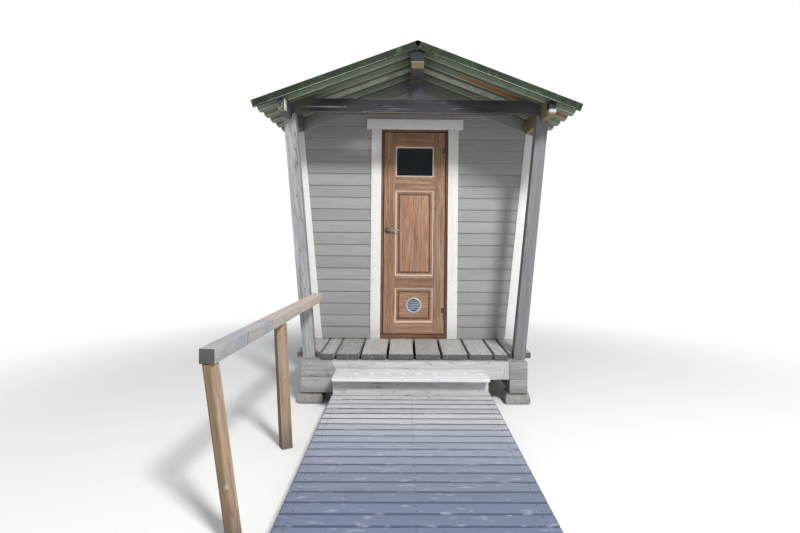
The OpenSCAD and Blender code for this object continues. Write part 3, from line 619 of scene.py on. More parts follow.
# %% Paint
# Grey oil paint on lap boards: brushed along each board, with painted shade in a strip under each lap and on
# the boards' undersides.
board_paint = finish("grey_oil_paint", "#929290", [
    ("noise", (420, 60, 60), 0.38, 0.62, "#9d9d9b", 0.55),
    ("noise", (140, 5, 5), 0.50, 0.72, "#7c7c79", 0.40, -0.12),
    ("tone", None, 0.5, 1.0, "#888784", 0.40),
    ("tone", None, 0.5, 0.0, "#9c9c9a", 0.35),
    ("lines", (300, 12, 12), 0.006, 0.0, "#767570", 0.45, -0.2),
    ("spots", (60, 26, 26), 0.16, 0.05, "#6d6c68", 0.35, -0.1),
    # Painted shade: the strip under each lap, and the undersides of the butts.
    edge("#383734", 0.88),
    ("upward", None, -0.30, -0.80, "#33322f", 0.90),
    ("height", None, 0.66, 0.385, "#7a7974", 0.40)], roughness=0.72)
# The same paint on the rake boards, darker under the roof as painted shade, and pale along their lower edges
# as a painted highlight.
rake_paint = finish("grey_rake_paint", "#7d7d77", [
    ("noise", (420, 60, 60), 0.38, 0.62, "#8b8b86", 0.60),
    ("noise", (140, 5, 5), 0.50, 0.72, "#6b6b66", 0.40, -0.12),
    edge("#c4c3ba", 0.80)], roughness=0.72)
# The wall behind the lap boards shows only at their ends, in the same grey.
wall_paint = finish("grey_paint_behind_boards", "#8d8d8a", [
    ("noise", (300, 300, 60), 0.40, 0.62, "#9b9b98", 0.5),
    ("noise", (40, 40, 5), 0.50, 0.72, "#787874", 0.4, -0.12)], where="object", roughness=0.75)
# Off-white oil paint on planed trim: short dark specks where it has let go of the grain.
trim_paint = finish("off_white_trim_paint", "#d8d8d5", [
    ("noise", (500, 30, 30), 0.40, 0.64, "#e0e0dd", 0.60),
    ("noise", (130, 4, 4), 0.52, 0.72, "#c3c3bf", 0.45, -0.15),
    ("lines", (260, 14, 14), 0.006, 0.0, "#a5a29b", 0.50, -0.3),
    ("spots", (90, 30, 30), 0.10, 0.03, "#7d7870", 0.70, -0.2),
    ("noise", (60, 8, 8), 0.66, 0.74, "#8b867c", 0.65, -0.2),
    end("#b9b4a9", 0.5),
    edge("#c9c7c0", 0.35),
    ("height", None, 0.60, 0.385, "#b3b0a8", 0.45)], roughness=0.6)
print("with paint:", len(bpy.data.materials))

# %% [markdown]
# The door is pine with a brown stain that has let go in places, orange where resin comes through. The edges
# of the mouldings are almost white, partly from wear and partly as a painted highlight, and the grooves are
# dark with painted shade. Such marks could be painted on by hand, but every board's edges and ends are marked
# already, so coats find their places by themselves.

# %% Door wood
def stained(name, base, pale, dark, orange=0.25, wear_and_painted_light="#b0937d", edges=0.30, extra=()):
    """Planed pine with a weathered brown stain."""
    return finish(name, base, [
        ("noise", (600, 26, 26), 0.36, 0.62, pale, 0.70),
        ("noise", (300, 9, 9), 0.50, 0.70, dark, 0.55, -0.2),
        ("noise", (340, 9, 9), 0.56, 0.64, "#b06c2c", orange),
        ("noise", (180, 3.6, 3.6), 0.47, 0.66, dark, 0.62, -0.25),
        ("noise", (160, 6, 6), 0.60, 0.72, wear_and_painted_light, 0.55, 0.1),
        ("knots", (380, 110, 110, 0.4), 0.019, 0.011, dark, 0.8, 0.2),
        ("knots", (380, 110, 110, 0.4), 0.011, 0.005, "#c97a2c", 0.9, 0.3),
        ("lines", (420, 26, 26), 0.008, 0.0, "#3b2718", 0.75, -0.7),
        ("tone", None, 0.5, 1.0, dark, 0.25),
        edge(wear_and_painted_light, edges),
        end("#4f3421", 0.5),
        *extra], roughness=0.7)


# Leaf: drops of resin have come out of its knots, and it is paler near the foot.
drops = ((-218, 1026, 14), (-206, 607, 20), (-226, 2030, 8), (252, 1689, 8))
leaf_pine = stained("stained_pine_leaf", "#8a674f", "#b3937b", "#513821", extra=[
    *[mark("XZ", (x, z), (6, high), "#d2892c", 0.9, 0.4) for x, z, high in drops],
    ("height", None, 0.62, 0.43, "#a58671", 0.35)])
# Panels: the sun has turned them orange, and the bevels round their fields are dark as painted shade.
panel_pine = stained("stained_pine_panel", "#9a745b", "#ad8b75", "#65462f", orange=0.60, wear_and_painted_light="#c2a893",
                     edges=0.0, extra=[
    # Painted shade on the bevels round the fields.
    edge("#3e2819", 0.80),
    mark("XZ", (-2, 1500), (8, 110), "#c0761f", 0.75),
    mark("XZ", (88, 1010), (9, 60), "#b96a1c", 0.70)])
# Mouldings stand proud, and their edges are pale, partly worn and partly a painted highlight. The frame is
# shaded and keeps the darkest stain.
moulding_pine = stained("worn_and_highlit_moulding_pine", "#a2836c", "#c2a995", "#664733", orange=0.1, wear_and_painted_light="#dccdbf",
                       edges=0.80)
frame_pine = stained("stained_pine_frame", "#6b4933", "#866249", "#422a1b", orange=0.15)
print("with door wood:", len(bpy.data.materials))

# %% [markdown]
# The roof is coil-coated steel: dulled dark green above, and the pale grey-green backing coat below, which is
# blotched and darkened here by painted shade, with painted light along its ribs. Rust creeps in from cut
# edges and laps. Each side could have a material of its own, but the way that a face looks tells them apart,
# so one finish holds both. The covers on the beam ends are black bitumen felt with stone dust.

# %% Roof steel and felt
rib_first, rib_pitch = -561, 205


def roof_steel(side, extra):
    """Backing coat below, with painted light on the rib flanks and painted shade on the crests, and the
    dulled green top coat above.
    """
    return finish("coil_coated_steel_" + side, "#465240", [
        ("noise", 300, 0.38, 0.62, "#596551", 0.50),
        # Painted light: a pale line and a lighter flank beside every rib.
        ("rib", (rib_first, rib_pitch), 0.0700, 0.0665, "#c3c8b2", 0.80),
        ("rib", (rib_first, rib_pitch), 0.0610, 0.0590, "#667360", 1.00),
        ("noise", (160, 12, 160), 0.52, 0.70, "#848f7b", 0.40, -0.04),
        ("noise", 25, 0.58, 0.75, "#48563f", 0.40, -0.05),
        *extra,
        ("upward", None, 0.0, 0.2, "#435440", 1.0),
        ("noise", (70, 420, 70), 0.50, 0.66, "#56684f", 0.45, 0.03),
        ("noise", (35, 22, 35), 0.60, 0.72, "#6f7862", 0.35, 0.05),
        ("spots", 40, 0.10, 0.04, "#3a4234", 0.5, -0.05)], where="object", roughness=0.45)


# Both slopes show a painted highlight strip behind the verge, and rust runs beside the first rib of the right
# one.
painted_highlight_strip = {"axes": "YX", "half": (30, 560), "amount": 0.80, "fade": (1.6, 1.2)}
roof_left_steel = roof_steel("left", [mark(middle=(-306, -450), colour="#b4b9ae", **painted_highlight_strip)])
roof_right_steel = roof_steel("right", [
    mark(middle=(-306, 450), colour="#b9beb2", **painted_highlight_strip),
    mark("XY", (600, -509), (290, 12), "#a4541c", 0.92, -0.08, fade=(1.60, 1.15)),
    mark("XY", (560, -506), (200, 5), "#6e3a16", 0.60, -0.08, fade=(1.60, 1.00)),
    mark("XY", (1165, -509), (110, 9), "#94501f", 0.90, -0.08, fade=(1.60, 1.15))])
# Folded flashings of the same steel: dull, and dark with painted shade, with one pale line along each verge
# as a painted highlight.
verge_highlights = [mark("ZX", (2489, x), (4, 760), "#a9b3a0", 0.55, tilt=tilt)
               for x, tilt in ((690, -0.3719), (-690, 0.3719))]
# Its dark base is painted shade.
flashing_steel = finish("green_flashing_steel", "#222c21", [
    ("noise", 300, 0.40, 0.62, "#313d2e", 0.55),
    *verge_highlights,
    ("noise", 20, 0.55, 0.75, "#2f3a2d", 0.40, -0.05),
    ("spots", 45, 0.14, 0.06, "#6d7360", 0.4, 0.05),
    ("upward", None, 0.5, 0.8, "#434f40", 0.9),
    ("noise", 60, 0.56, 0.70, "#5a6a54", 0.35, 0.03)], where="object", roughness=0.6, Specular_IOR_Level=0.12)


def felt(name, *extra):
    """Black bitumen felt, rough with stone dust, which is drawn in grains of 5 mm so that it shows."""
    return finish(name, "#12141b", [
        ("noise", 60, 0.42, 0.62, "#1f2128", 0.7),
        ("spots", 5, 0.35, 0.10, "#34363d", 0.5, 0.25),
        *extra], where="object", roughness=0.8)


# Each cover has a pale strip: low on the ridge and right ones, and on the left one's outer edge, where it is
# a painted highlight.
felt_ridge = felt("black_bitumen_felt", ("height", None, 2.6440, 2.6415, "#b3a9ac", 0.85))
felt_left = felt("dusted_bitumen_felt", ("noise", 16, 0.46, 0.66, "#8b8c8a", 0.75, 0.2),
                 # Painted highlight along the left cover's outer edge.
                 ("width", None, -1.005, -1.001, "#e6dfd0", 0.9))
felt_right = felt("split_bitumen_felt", ("height", None, 2.304, 2.295, "#b0b2bf", 0.9, 0.2))
print("with roof steel and felt:", len(bpy.data.materials))

# %% [markdown]
# The small parts are worn metal: an enamelled vent, turned roses, a plated lever, rusted hinges and
# nails, and zinc-plated screws. Clean metal mirrors the white surroundings and looks new, so each has a
# roughness of its own and is mottled at two sizes. The pane is near black, because the room behind it is
# dark, and the stones are rough as they were found.

# %% Metal fittings, glass and stone
# Enamelled pressed steel, for the vent: smooth and light, with chips that show brown.
enamel = finish("light_grey_enamel", "#9fa9b4", [
    ("noise", 80, 0.40, 0.62, "#b9c4ce", 0.55),
    ("noise", 9, 0.60, 0.72, "#7d868e", 0.50, -0.08),
    ("spots", 22, 0.10, 0.04, "#6a5544", 0.7, -0.1)], where="object", roughness=0.42)
# Turned steel, for the roses: bright where hands rub it, with brown rust round that.
rubbed_steel = finish("hand_worn_steel", "#55534f", [
    ("noise", 40, 0.40, 0.62, "#6a6865", 0.60),
    ("noise", 6, 0.52, 0.70, "#2c2a28", 0.60, -0.06),
    ("noise", 14, 0.64, 0.72, "#6b4530", 0.55, -0.05)], where="object", roughness=0.38, Metallic=0.85)
# Pressed steel hinges, left bare: rusted all over, so they are brown and dull.
hinge_steel = finish("rust_brown_hinge_steel", "#5a4234", [
    ("noise", 25, 0.40, 0.62, "#6f5240", 0.60),
    ("noise", 5, 0.52, 0.70, "#3a2a22", 0.60, -0.06)], where="object", roughness=0.55, Metallic=0.4)
# Nickel-plated lever: polished by use, so it is the brightest metal here, with dull pits.
lever_nickel = finish("worn_nickel_lever", "#8d8c8e", [
    ("noise", 30, 0.40, 0.62, "#a5a4a6", 0.60),
    ("noise", 5, 0.58, 0.74, "#5b5754", 0.60, -0.04)], where="object", roughness=0.28, Metallic=0.9)
# Zinc-plated screws keep a dull silver, and plain steel nails rust to brown.
screw_zinc = finish("zinc_plated_screws", "#9a9c9c", [
    ("noise", 8, 0.42, 0.62, "#b6b8b8", 0.6),
    ("noise", 5, 0.58, 0.70, "#6d5a4a", 0.5, -0.05)], where="object", roughness=0.45, Metallic=0.8)
nail_steel = finish("rusted_nail_heads", "#5d5650", [
    ("noise", 6, 0.42, 0.62, "#3f3935", 0.6),
    ("noise", 9, 0.52, 0.66, "#7a4b30", 0.6, -0.05)], where="object", roughness=0.6, Metallic=0.4)
# Drawn window glass with the dark room behind it: near black, and dulled by dust.
pane_glass = finish("dusty_window_glass", "#08161a", [
    ("noise", 120, 0.42, 0.66, "#102327", 0.5),
    ("noise", 30, 0.58, 0.72, "#1b2f34", 0.3, 0.02)], where="object", roughness=0.08, vary=-0.1,
    IOR=1.5, Specular_IOR_Level=0.03, Transmission_Weight=0.25)
# Granite field stones, as they were found: rough and pitted, with a little moss.
field_stone = finish("rough_field_stone", "#8b8a86", [
    ("noise", 120, 0.40, 0.62, "#a3a19b", 0.7),
    ("noise", 18, 0.50, 0.68, "#6b6a66", 0.6, -1.0),
    ("spots", 9, 0.30, 0.10, "#55544f", 0.5, -0.4),
    ("noise", 70, 0.60, 0.70, "#7c8468", 0.5, 0.2)], where="object", roughness=0.9)
print("finishes in all:", len(bpy.data.materials))

# %% [markdown]
# The base is heavy carpentry on stones: two layers of sill on each side, blocks at the porch's corners,
# and a board across the front with a pale wedge beside it. Field stones are rounder than the packed
# blocks. They could be sculpted, but the timbers' way works for them too, with a wide bevel, fine cuts
# and deep wear.

# %% Base and floors
timber("foundation_stones", field_stone, bevel=22.0, cuts=(28, 28, 28), wear=9.0, waves=(70, 70, 70))
timber("side_sills", sill_pine, bevel=4.0, wear=2.0)
timber("plinth_blocks", sill_pine, bevel=4.0, cuts=(60, 0, 0), wear=2.5)
timber("plinth_wedge", wedge_pine, along=(0, 0, 1), bevel=2.0, wear=0.8)
timber("front_rim", rim_pine, bevel=4.0, wear=2.0)
timber("floor_joists", damp_and_shaded_pine, bevel=2.0, wear=1.0)
timber("porch_planks", deck_pine, bevel=5.0, cuts=(60, 40, 0), wear=3.5, waves=(110, 35, 35))
timber("room_floor", floor_pine, bevel=2.0, wear=0.5)

# %% [markdown]
# The porch frame leans out with the walls, and trim covers every joint of the boarding: corner boards,
# rake boards under the roof, and architraves with a head board round the door. New meshes for them would
# only repeat what is measured already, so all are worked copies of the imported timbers, with their
# notches.

# %% Porch frame, roof timbers and trim
timber("porch_posts", post_pine, bevel=4.0, cuts=(120, 0, 0), wear=2.0, waves=(400, 50, 50))
timber("tie_beam", tie_pine, bevel=3.0, wear=1.5)
timber("king_post", king_pine, bevel=3.0, cuts=(60, 0, 0), wear=1.5)
timber("ridge_planks", ridge_pine, bevel=2.5, wear=1.0)
timber("eaves_plates", plate_pine, bevel=2.5, wear=1.0)
for node in ("corner_boards_gable", "corner_boards_side", "architraves"):
    timber(node, trim_paint, bevel=2.0, wear=0.8)
timber("rake_boards", rake_paint, bevel=2.0, wear=0.8)
for node in ("front_wall_left", "front_wall_right", "front_gable", "left_wall", "right_wall", "back_wall"):
    dress(node, wall_paint)

# %% [markdown]
# Lap boarding follows a rule: each board covers the next by a little, is thick at its lower edge and thin
# at its upper one, and ends where the leaning corner or the roof cuts it. Boards could be modelled one by
# one, but a rule suits Geometry Nodes. One tree makes a board, bends it to a wedge, places it once per
# row, and then moves every point between the wall's limits at its own height. The tree ends in real
# meshes with their paint, and each wall gets one from its own sizes.

# %% Geometry Nodes helpers
socket_kinds = {int: "NodeSocketInt", float: "NodeSocketFloat", type(None): "NodeSocketMaterial"}
position, move = "GeometryNodeInputPosition", "GeometryNodeSetPosition"


def start_tree(name, sizes):
    """A node group with named sizes as inputs, and the sockets that they come in by."""
    tree = bpy.data.node_groups.new(name, "GeometryNodeTree")
    tree.interface.new_socket("Geometry", in_out="INPUT", socket_type="NodeSocketGeometry")
    for label, value in sizes.items():
        socket = tree.interface.new_socket(label, in_out="INPUT", socket_type=socket_kinds[type(value)])
        if value is not None:
            socket.default_value = value
    tree.interface.new_socket("Geometry", in_out="OUTPUT", socket_type="NodeSocketGeometry")
    return tree, add(tree, "NodeGroupInput").outputs


def end_tree(tree, geometry, material):
    """Ends a tree in real meshes with their finish."""
    real = add(tree, "GeometryNodeRealizeInstances", [geometry])
    done = add(tree, "GeometryNodeSetMaterial", {"Geometry": real, "Material": material})
    add(tree, "NodeGroupOutput", [done])
    print(tree.name, "tree:", len(tree.nodes), "nodes")


def grow(name, tree, sizes, points=()):
    """The plain mesh that a tree makes from its sizes, and from points with the way that each faces."""
    seeds = bpy.data.meshes.new(name)
    seeds.from_pydata([place for place, facing in points], [], [])
    if points:
        ways = [c for place, facing in points for c in facing]
        seeds.attributes.new("facing", "FLOAT_VECTOR", "POINT").data.foreach_set("vector", ways)
    source = bpy.data.objects.new(name, seeds)
    scene.collection.objects.link(source)
    modifier = source.modifiers.new(name, "NODES")
    modifier.node_group = tree
    for item in tree.interface.items_tree:
        if item.in_out == "INPUT" and item.name in sizes:
            modifier[item.identifier] = sizes[item.name]
    graph = bpy.context.evaluated_depsgraph_get()
    grown = bpy.data.meshes.new_from_object(source.evaluated_get(graph), depsgraph=graph)
    source.modifiers.remove(modifier)
    bpy.data.objects.remove(source)
    return grown


print("kinds of tree input:", len(socket_kinds))

# %% Tree for lap boards: one board
laps, size = start_tree("lap_boards", {
    "Rows": 18, "Cover": 0.107, "Overlap": 0.020, "First Row": 0.0, "Butt": 0.0170, "Tip": 0.005,
    "Left": -1.0, "Right": 1.0, "Lean Left": 0.0, "Lean Right": 0.0, "Foot": 0.0, "Top": 3.0,
    "Ridge": 99.0, "Pitch": 0.3719, "Seed": 1, "Finish": None})
block = add(laps, "GeometryNodeMeshCube", {
    "Size": (1, 1, 1), "Vertices X": 13, "Vertices Y": 2, "Vertices Z": 4})
unit = add(laps, split, [add(laps, position)]).outputs
up = add(laps, maths, [unit["Z"], 0.5], "ADD")
# The two inner levels of the block come down close to the lower edge, which is rounded off by 2.5 mm.
lift = add(laps, remap, [up, 0.3, 0.7, 0.03, 0.130])
lifted = add(laps, maths, [up, lift], "MULTIPLY")
at_tip = add(laps, maths, [up, 0.9], "GREATER_THAN")
share_up = add(laps, "ShaderNodeMix", {0: at_tip, 2: lifted, 3: up}, data_type="FLOAT")
thick = add(laps, remap, [share_up, 0.0, 1.0, size["Butt"], size["Tip"]])
round_off = add(laps, remap, [share_up, 0.0, 0.025, 0.0025, 0.0])
proud = add(laps, maths, [thick, round_off], "SUBTRACT")
outer = add(laps, maths, [unit["Y"], 0.0], "LESS_THAN")
depth = add(laps, maths, [add(laps, maths, [outer, proud], "MULTIPLY"), -1.0], "MULTIPLY")
share_along = add(laps, maths, [unit["X"], 0.5], "ADD")
tall = add(laps, maths, [size["Cover"], size["Overlap"]], "ADD")
raised = add(laps, maths, [share_up, tall], "MULTIPLY")
board = add(laps, move, {"Geometry": block, "Position": add(laps, combine, [share_along, depth, raised])})
print("nodes for one board:", len(laps.nodes))

# %% Tree for lap boards: rows and limits
start = add(laps, combine, {"Z": size["First Row"]})
step = add(laps, combine, {"Z": size["Cover"]})
line = {"Count": size["Rows"], "Start Location": start, "Offset": step}
rows = add(laps, "GeometryNodeMeshLine", line, mode="OFFSET")
stray = {"Min": (0, -0.0012, -0.0015), "Max": (0, 0, 0.0015), "Seed": size["Seed"]}
strayed = add(laps, "FunctionNodeRandomValue", stray, data_type="FLOAT_VECTOR")
rows = add(laps, move, {"Geometry": rows, "Offset": strayed})
copies = add(laps, "GeometryNodeInstanceOnPoints", {"Points": rows, "Instance": board})
laid = add(laps, "GeometryNodeRealizeInstances", [copies])
at = add(laps, split, [add(laps, position)]).outputs
above_foot = add(laps, maths, [at["Z"], size["Foot"]], "MAXIMUM")
z = add(laps, maths, [above_foot, size["Top"]], "MINIMUM")
under_ridge = add(laps, maths, [size["Ridge"], z], "SUBTRACT")
roof_half = add(laps, maths, [under_ridge, size["Pitch"]], "DIVIDE")
roof_half = add(laps, maths, [roof_half, 0.002], "MAXIMUM")
limits = []
for side, sign, nearer in (("Left", -1.0, "MAXIMUM"), ("Right", 1.0, "MINIMUM")):
    height = add(laps, maths, [z, size["Foot"]], "SUBTRACT")
    corner = add(laps, maths, [height, size["Lean " + side], size[side]], "MULTIPLY_ADD")
    roof_line = add(laps, maths, [roof_half, sign], "MULTIPLY")
    limits.append(add(laps, maths, [corner, roof_line], nearer))
x = add(laps, "ShaderNodeMix", {0: at["X"], 2: limits[0], 3: limits[1]}, data_type="FLOAT")
cut = add(laps, move, {"Geometry": laid, "Position": add(laps, combine, [x, at["Y"], z])})
end_tree(laps, cut, size["Finish"])

# %% [markdown]
# Each wall's boards are grown flat, as seen from in front with X to the right, and then put in the wall's
# plane, which is simpler than growing them on a slope. Each board is then taken by itself, so that it
# gets its own stretch of grain and its own tone. The strip under the next lap counts as an edge, which
# the paint makes dark as a shadow does.

# %% Boards on a wall
lap_shown = 0.72
merging = {"remove": 1e-6, "dissolve": 1e-5}


def boards_on(name, node, place, paint, sizes):
    """Grows the boards of one wall, marks their grain and lets them ride on the hut."""
    grown = grow(name, laps, {**sizes, "Finish": paint})
    grown.transform(place)
    to_flat = place.inverted()
    rng = random.Random(name)
    faces_each = len(grown.polygons) // sizes["Rows"]
    whole = bmesh.new()
    whole.from_mesh(grown)
    row_of = whole.faces.layers.int.new("row")
    for face in whole.faces:
        face[row_of] = face.index // faces_each
    bmesh.ops.remove_doubles(whole, verts=whole.verts, dist=merging["remove"])
    bmesh.ops.dissolve_degenerate(whole, edges=whole.edges, dist=merging["dissolve"])
    parts = []
    for row in range(sizes["Rows"]):
        board = whole.copy()
        row_of = board.faces.layers.int["row"]
        others = [face for face in board.faces if face[row_of] != row]
        bmesh.ops.delete(board, geom=others, context="FACES")
        # Of two equally large faces the first sets the way across the grain, so the order matters.
        board.faces.sort(key=lambda face: -face.index)
        board.normal_update()
        points, faces, grain, kinds = marked(board, grain_axes(board, place.col[0].to_3d()), rng)
        heights = [(to_flat @ Vector(p)).z for p in points]
        under_lap = min(heights) + lap_shown * lap_tall
        covered = [float(min(heights[i] for i in face) > under_lap) for face in faces]
        kinds = [(*kind[:2], edge) for kind, edge in zip(kinds, covered)]
        parts.append((points, faces, grain, kinds))
        board.free()
    whole.free()
    piece_from(name, parts, paint, "hut", node)


lean = math.radians(5.5)
roof_angle = math.radians(20.4)
ridge_z, body_half, surround_half = 2.752, 0.900, 0.380
lap_start, lap_cover = 0.3865, 0.107
lap_tall = lap_cover + 0.020
back_low, back_high = [[round(c, 4) for c in corner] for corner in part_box("back_wall")]
floor_z, back_inside, back_outside = back_low[2], back_low[1], back_high[1]
front_inside = round(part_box("front_gable")[1][1], 4)
leans = {-1: {"Lean Left": -math.tan(lean)}, 1: {"Lean Right": math.tan(lean)}}
turns = {1: Matrix.Identity(4), -1: Matrix.Rotation(math.pi, 4, "Z")}
print("floor at", floor_z, "back wall from", back_inside, "to", back_outside)

# %% Lap boards on the walls
def side_place(side, way, half, start):
    """The plane of a side wall's face. Side is 1 for right or -1 for left, way 1 outside or -1 inside."""
    return Matrix((
        (0, -way * side * math.cos(lean), side * math.sin(lean), side * half),
        (way * side, 0, 0, start),
        (0, way * math.sin(lean), math.cos(lean), floor_z),
        (0, 0, 0, 1)))


def board_walls(kind, paint, way, half, opening, ends, beside, over, back, side):
    """Boards on the walls, outside with way 1 or inside with way -1. The ends are the body's in Y."""
    front = Matrix.Translation((0, ends[0], 0)) @ turns[way]
    for name, sign in (("left", -1), ("right", 1)):
        left, right = sorted((sign * way * opening, sign * way * half))
        sizes = {**beside, "Left": left, "Right": right, **leans[sign * way]}
        boards_on(kind + "_front_" + name, "front_wall_" + name, front, paint, sizes)
    boards_on(kind + "_gable", "front_gable", front, paint, over)
    boards_on(kind + "_back", "back_wall", Matrix.Translation((0, ends[1], 0)) @ turns[-way], paint, back)
    for name, sign in (("right", 1), ("left", -1)):
        place = side_place(sign, way, half, ends[0] if sign == way else ends[1])
        boards_on(kind + "_" + name, name + "_wall", place, paint, side)


under_roof = {"Foot": floor_z, "Ridge": ridge_z, "Pitch": math.tan(roof_angle), "First Row": lap_start}
door_rows = 18
whole_width = {**under_roof, "Left": -body_half, "Right": body_half, **leans[-1], **leans[1]}
board_walls(
    "lap_boards", board_paint, 1, body_half, surround_half, (0.0, back_outside),
    beside={**under_roof, "Rows": door_rows, "Top": 2.40},
    over={**whole_width, "Rows": 4, "First Row": lap_start + door_rows * lap_cover},
    back={**whole_width, "Rows": 22},
    side={"Rows": 19, "Left": 0.05, "Right": 1.45, "Cover": lap_cover / math.cos(lean),
          "First Row": (lap_start - floor_z) / math.cos(lean), "Top": (2.332 - floor_z) / math.cos(lean)})

# %% [markdown]
# The door leaf is frame-and-panel work: stiles and rails round a tall and a low raised panel, mouldings
# that hold them, and a pane at the top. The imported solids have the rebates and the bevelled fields, so
# they are only given finer edges than the rough timbers. The low panel's grain lies level, as does that
# of the rails.

# %% Door leaf and frame
timber("door_frame", frame_pine, bevel=2.0, wear=0.6)
timber("door_stiles", leaf_pine, "door", bevel=2.0, wear=0.6)
timber("door_rails", leaf_pine, "door", bevel=1.5, wear=0.6)
timber("door_panels", panel_pine, "door", bevel=1.5, cuts=(0, 0, 0), wear=0.4)
dress("door_glass", pane_glass)
for node in ("hinge_pins", "hinge_knuckles"):
    dress(node, hinge_steel)

# %% [markdown]
# The mouldings are lengths of one rounded section, mitred at the corners. The section could be swept
# round the opening in one go, but then the grain would turn the corners too. So each length is drawn from
# one mitre to the next, and its grain runs along it as it does on the real ones. The back of the leaf
# mirrors the front.

# %% Door mouldings
def skin(rings, closed=False):
    """Points and faces of a skin over rings of points, closed on itself or else with flat ends."""
    n = len(rings[0])
    pairs = [(i, (i + 1) % len(rings)) for i in range(len(rings) if closed else len(rings) - 1)]
    faces = [[i * n + k, i * n + (k + 1) % n, j * n + (k + 1) % n, j * n + k]
             for i, j in pairs for k in range(n)]
    if not closed:
        faces += [list(range(n)), [len(rings) * n - 1 - k for k in range(n)]]
    return [point for ring in rings for point in ring], faces


def outward_solid(points, faces):
    """A working mesh from points and faces, with its normals outwards."""
    solid = bmesh.new()
    corners = [solid.verts.new(point) for point in points]
    for face in faces:
        solid.faces.new([corners[i] for i in face])
    bmesh.ops.recalc_face_normals(solid, faces=solid.faces)
    return solid


def mitred_lengths(half, low, high, section, rng):
    """Four marked lengths of a section of (inset, depth) round an opening, in mm."""
    corners = [(-half, low, 1, 1), (half, low, -1, 1), (half, high, -1, -1), (-half, high, 1, -1)]
    for ends in zip(corners, corners[1:] + corners[:1]):
        rings = [[((x + right * inset) / 1000, depth / 1000, (z + up * inset) / 1000)
                  for inset, depth in section] for x, z, right, up in ends]
        solid = outward_solid(*skin(rings))
        yield marked(solid, grain_axes(solid), rng)
        solid.free()


leaf_faces = 3.0 + 43.0
opening_half = 178.0
rng = random.Random(3)
lengths = []
for low, high, bed in ((526.5, 848.5, 16.7), (951.5, 1738.5, 16.7), (1857.5, 2139.5, 20.2)):
    round_part = [(4.0 + 11.4 * math.sin(a), 6.2 + 9.6 * (1 - math.cos(a)))
                  for a in (0.25, 0.6, 0.95, 1.3, 1.57)]
    front = [(0.3, bed), (0.3, 5.1), (3.6, 5.1), (4.0, 6.2), *round_part, (15.7, bed)]
    back = [(inset, leaf_faces - depth) for inset, depth in front]
    for section in (front, back):
        lengths += mitred_lengths(opening_half, low, high, section, rng)
piece_from("door_mouldings_mitred", lengths, moulding_pine, "door", "door_mouldings", ("door_mouldings",))

# %% [markdown]
# Step, walk and handrail are boards and beams laid out plainly, so worked copies do here too. The walk's
# boards are worn most, so their edges are rounder and their faces wave a little.

# %% Step, walk and handrail
timber("step_tread", tread_pine, bevel=5.0, cuts=(90, 0, 0), wear=2.0, waves=(200, 60, 60))
timber("step_box", box_pine, bevel=2.5, wear=1.0)
timber("walk_planks", walk_pine, bevel=7.0, cuts=(90, 0, 0), wear=2.0, waves=(160, 40, 40))
timber("walk_bearers", damp_and_shaded_pine, bevel=2.0, wear=1.0)
timber("handrail", rail_pine, bevel=7.0, cuts=(120, 0, 0), wear=1.5)
timber("rail_posts", rail_post_pine, bevel=6.0, cuts=(90, 0, 0), wear=1.5)

# %% [markdown]
# Sheets, flashings and ridge cap are pressed steel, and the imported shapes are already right, so they only
# get their coating. The beam end covers are felt, folded over the ends by hand. A cloth simulation could
# crumple them, but fine cuts and some wear do that well enough for pieces so small.

# %% Roof and covers
dress("roof_sheet_left", roof_left_steel)
dress("roof_sheet_right", roof_right_steel)
for node in ("verge_flashings", "ridge_cap"):
    dress(node, flashing_steel)
felts = {-1: ("left", felt_left), 0: ("ridge", felt_ridge), 1: ("right", felt_right)}
for solid in solids_of("beam_end_covers"):
    middle = sum((v.co for v in solid.verts), Vector()) / len(solid.verts)
    where, material = felts[round(middle.x)]
    axes = grain_axes(solid)
    work(solid, axes, 3.0 * middle.x, bevel=1.2, cuts=(9, 9, 9), wear=1.1, waves=(26, 26, 26))
    parts = [marked(solid, axes, random.Random(where))]
    piece_from("felt_cover_" + where, parts, material, "hut", "beam_end_covers", ("beam_end_covers",), 60)
    solid.free()

# %% [markdown]
# The hut shows over two hundred nail and screw heads. Copying them one by one would be slow, so one small
# shape is put on many points by Geometry Nodes. A head is a low dome with few sides, and a screw has a
# washer under it. Each point carries the direction that its surface faces, which turns the head to lie
# flat on it.

# %% Tree for nail and screw heads
domes, size = start_tree("heads", {
    "Diameter": 0.008, "Height": 0.002, "Washer": 0.0, "Sides": 8, "Finish": None})
foot = add(domes, maths, [size["Diameter"], 0.5], "MULTIPLY")
crown = add(domes, maths, [foot, 0.72], "MULTIPLY")
washer_half = add(domes, maths, [size["Washer"], 0.5], "MULTIPLY")
washer_depth = add(domes, maths, [size["Height"], 0.3], "MULTIPLY")
shape = add(domes, "GeometryNodeJoinGeometry")
for top, bottom, depth in ((crown, foot, size["Height"]), (washer_half, washer_half, washer_depth)):
    drum = {"Vertices": size["Sides"], "Radius Top": top, "Radius Bottom": bottom, "Depth": depth}
    domes.links.new(add(domes, "GeometryNodeMeshCone", drum).outputs["Mesh"], shape.inputs[0])
facing = add(domes, "GeometryNodeInputNamedAttribute", {"Name": "facing"}, data_type="FLOAT_VECTOR")
turn = add(domes, "FunctionNodeAlignRotationToVector", {"Vector": facing.outputs["Attribute"]}, axis="Z")
placed = add(domes, "GeometryNodeInstanceOnPoints", {
    "Points": size["Geometry"], "Instance": shape, "Rotation": turn})
end_tree(domes, placed, size["Finish"])

# %% Nails
def heads(name, node, points, material, **sizes):
    """Puts heads on points, each with its facing direction."""
    settle(name, grow(name, domes, {**sizes, "Finish": material}, points), material, "hut", node)
    print(name, len(points), "heads")


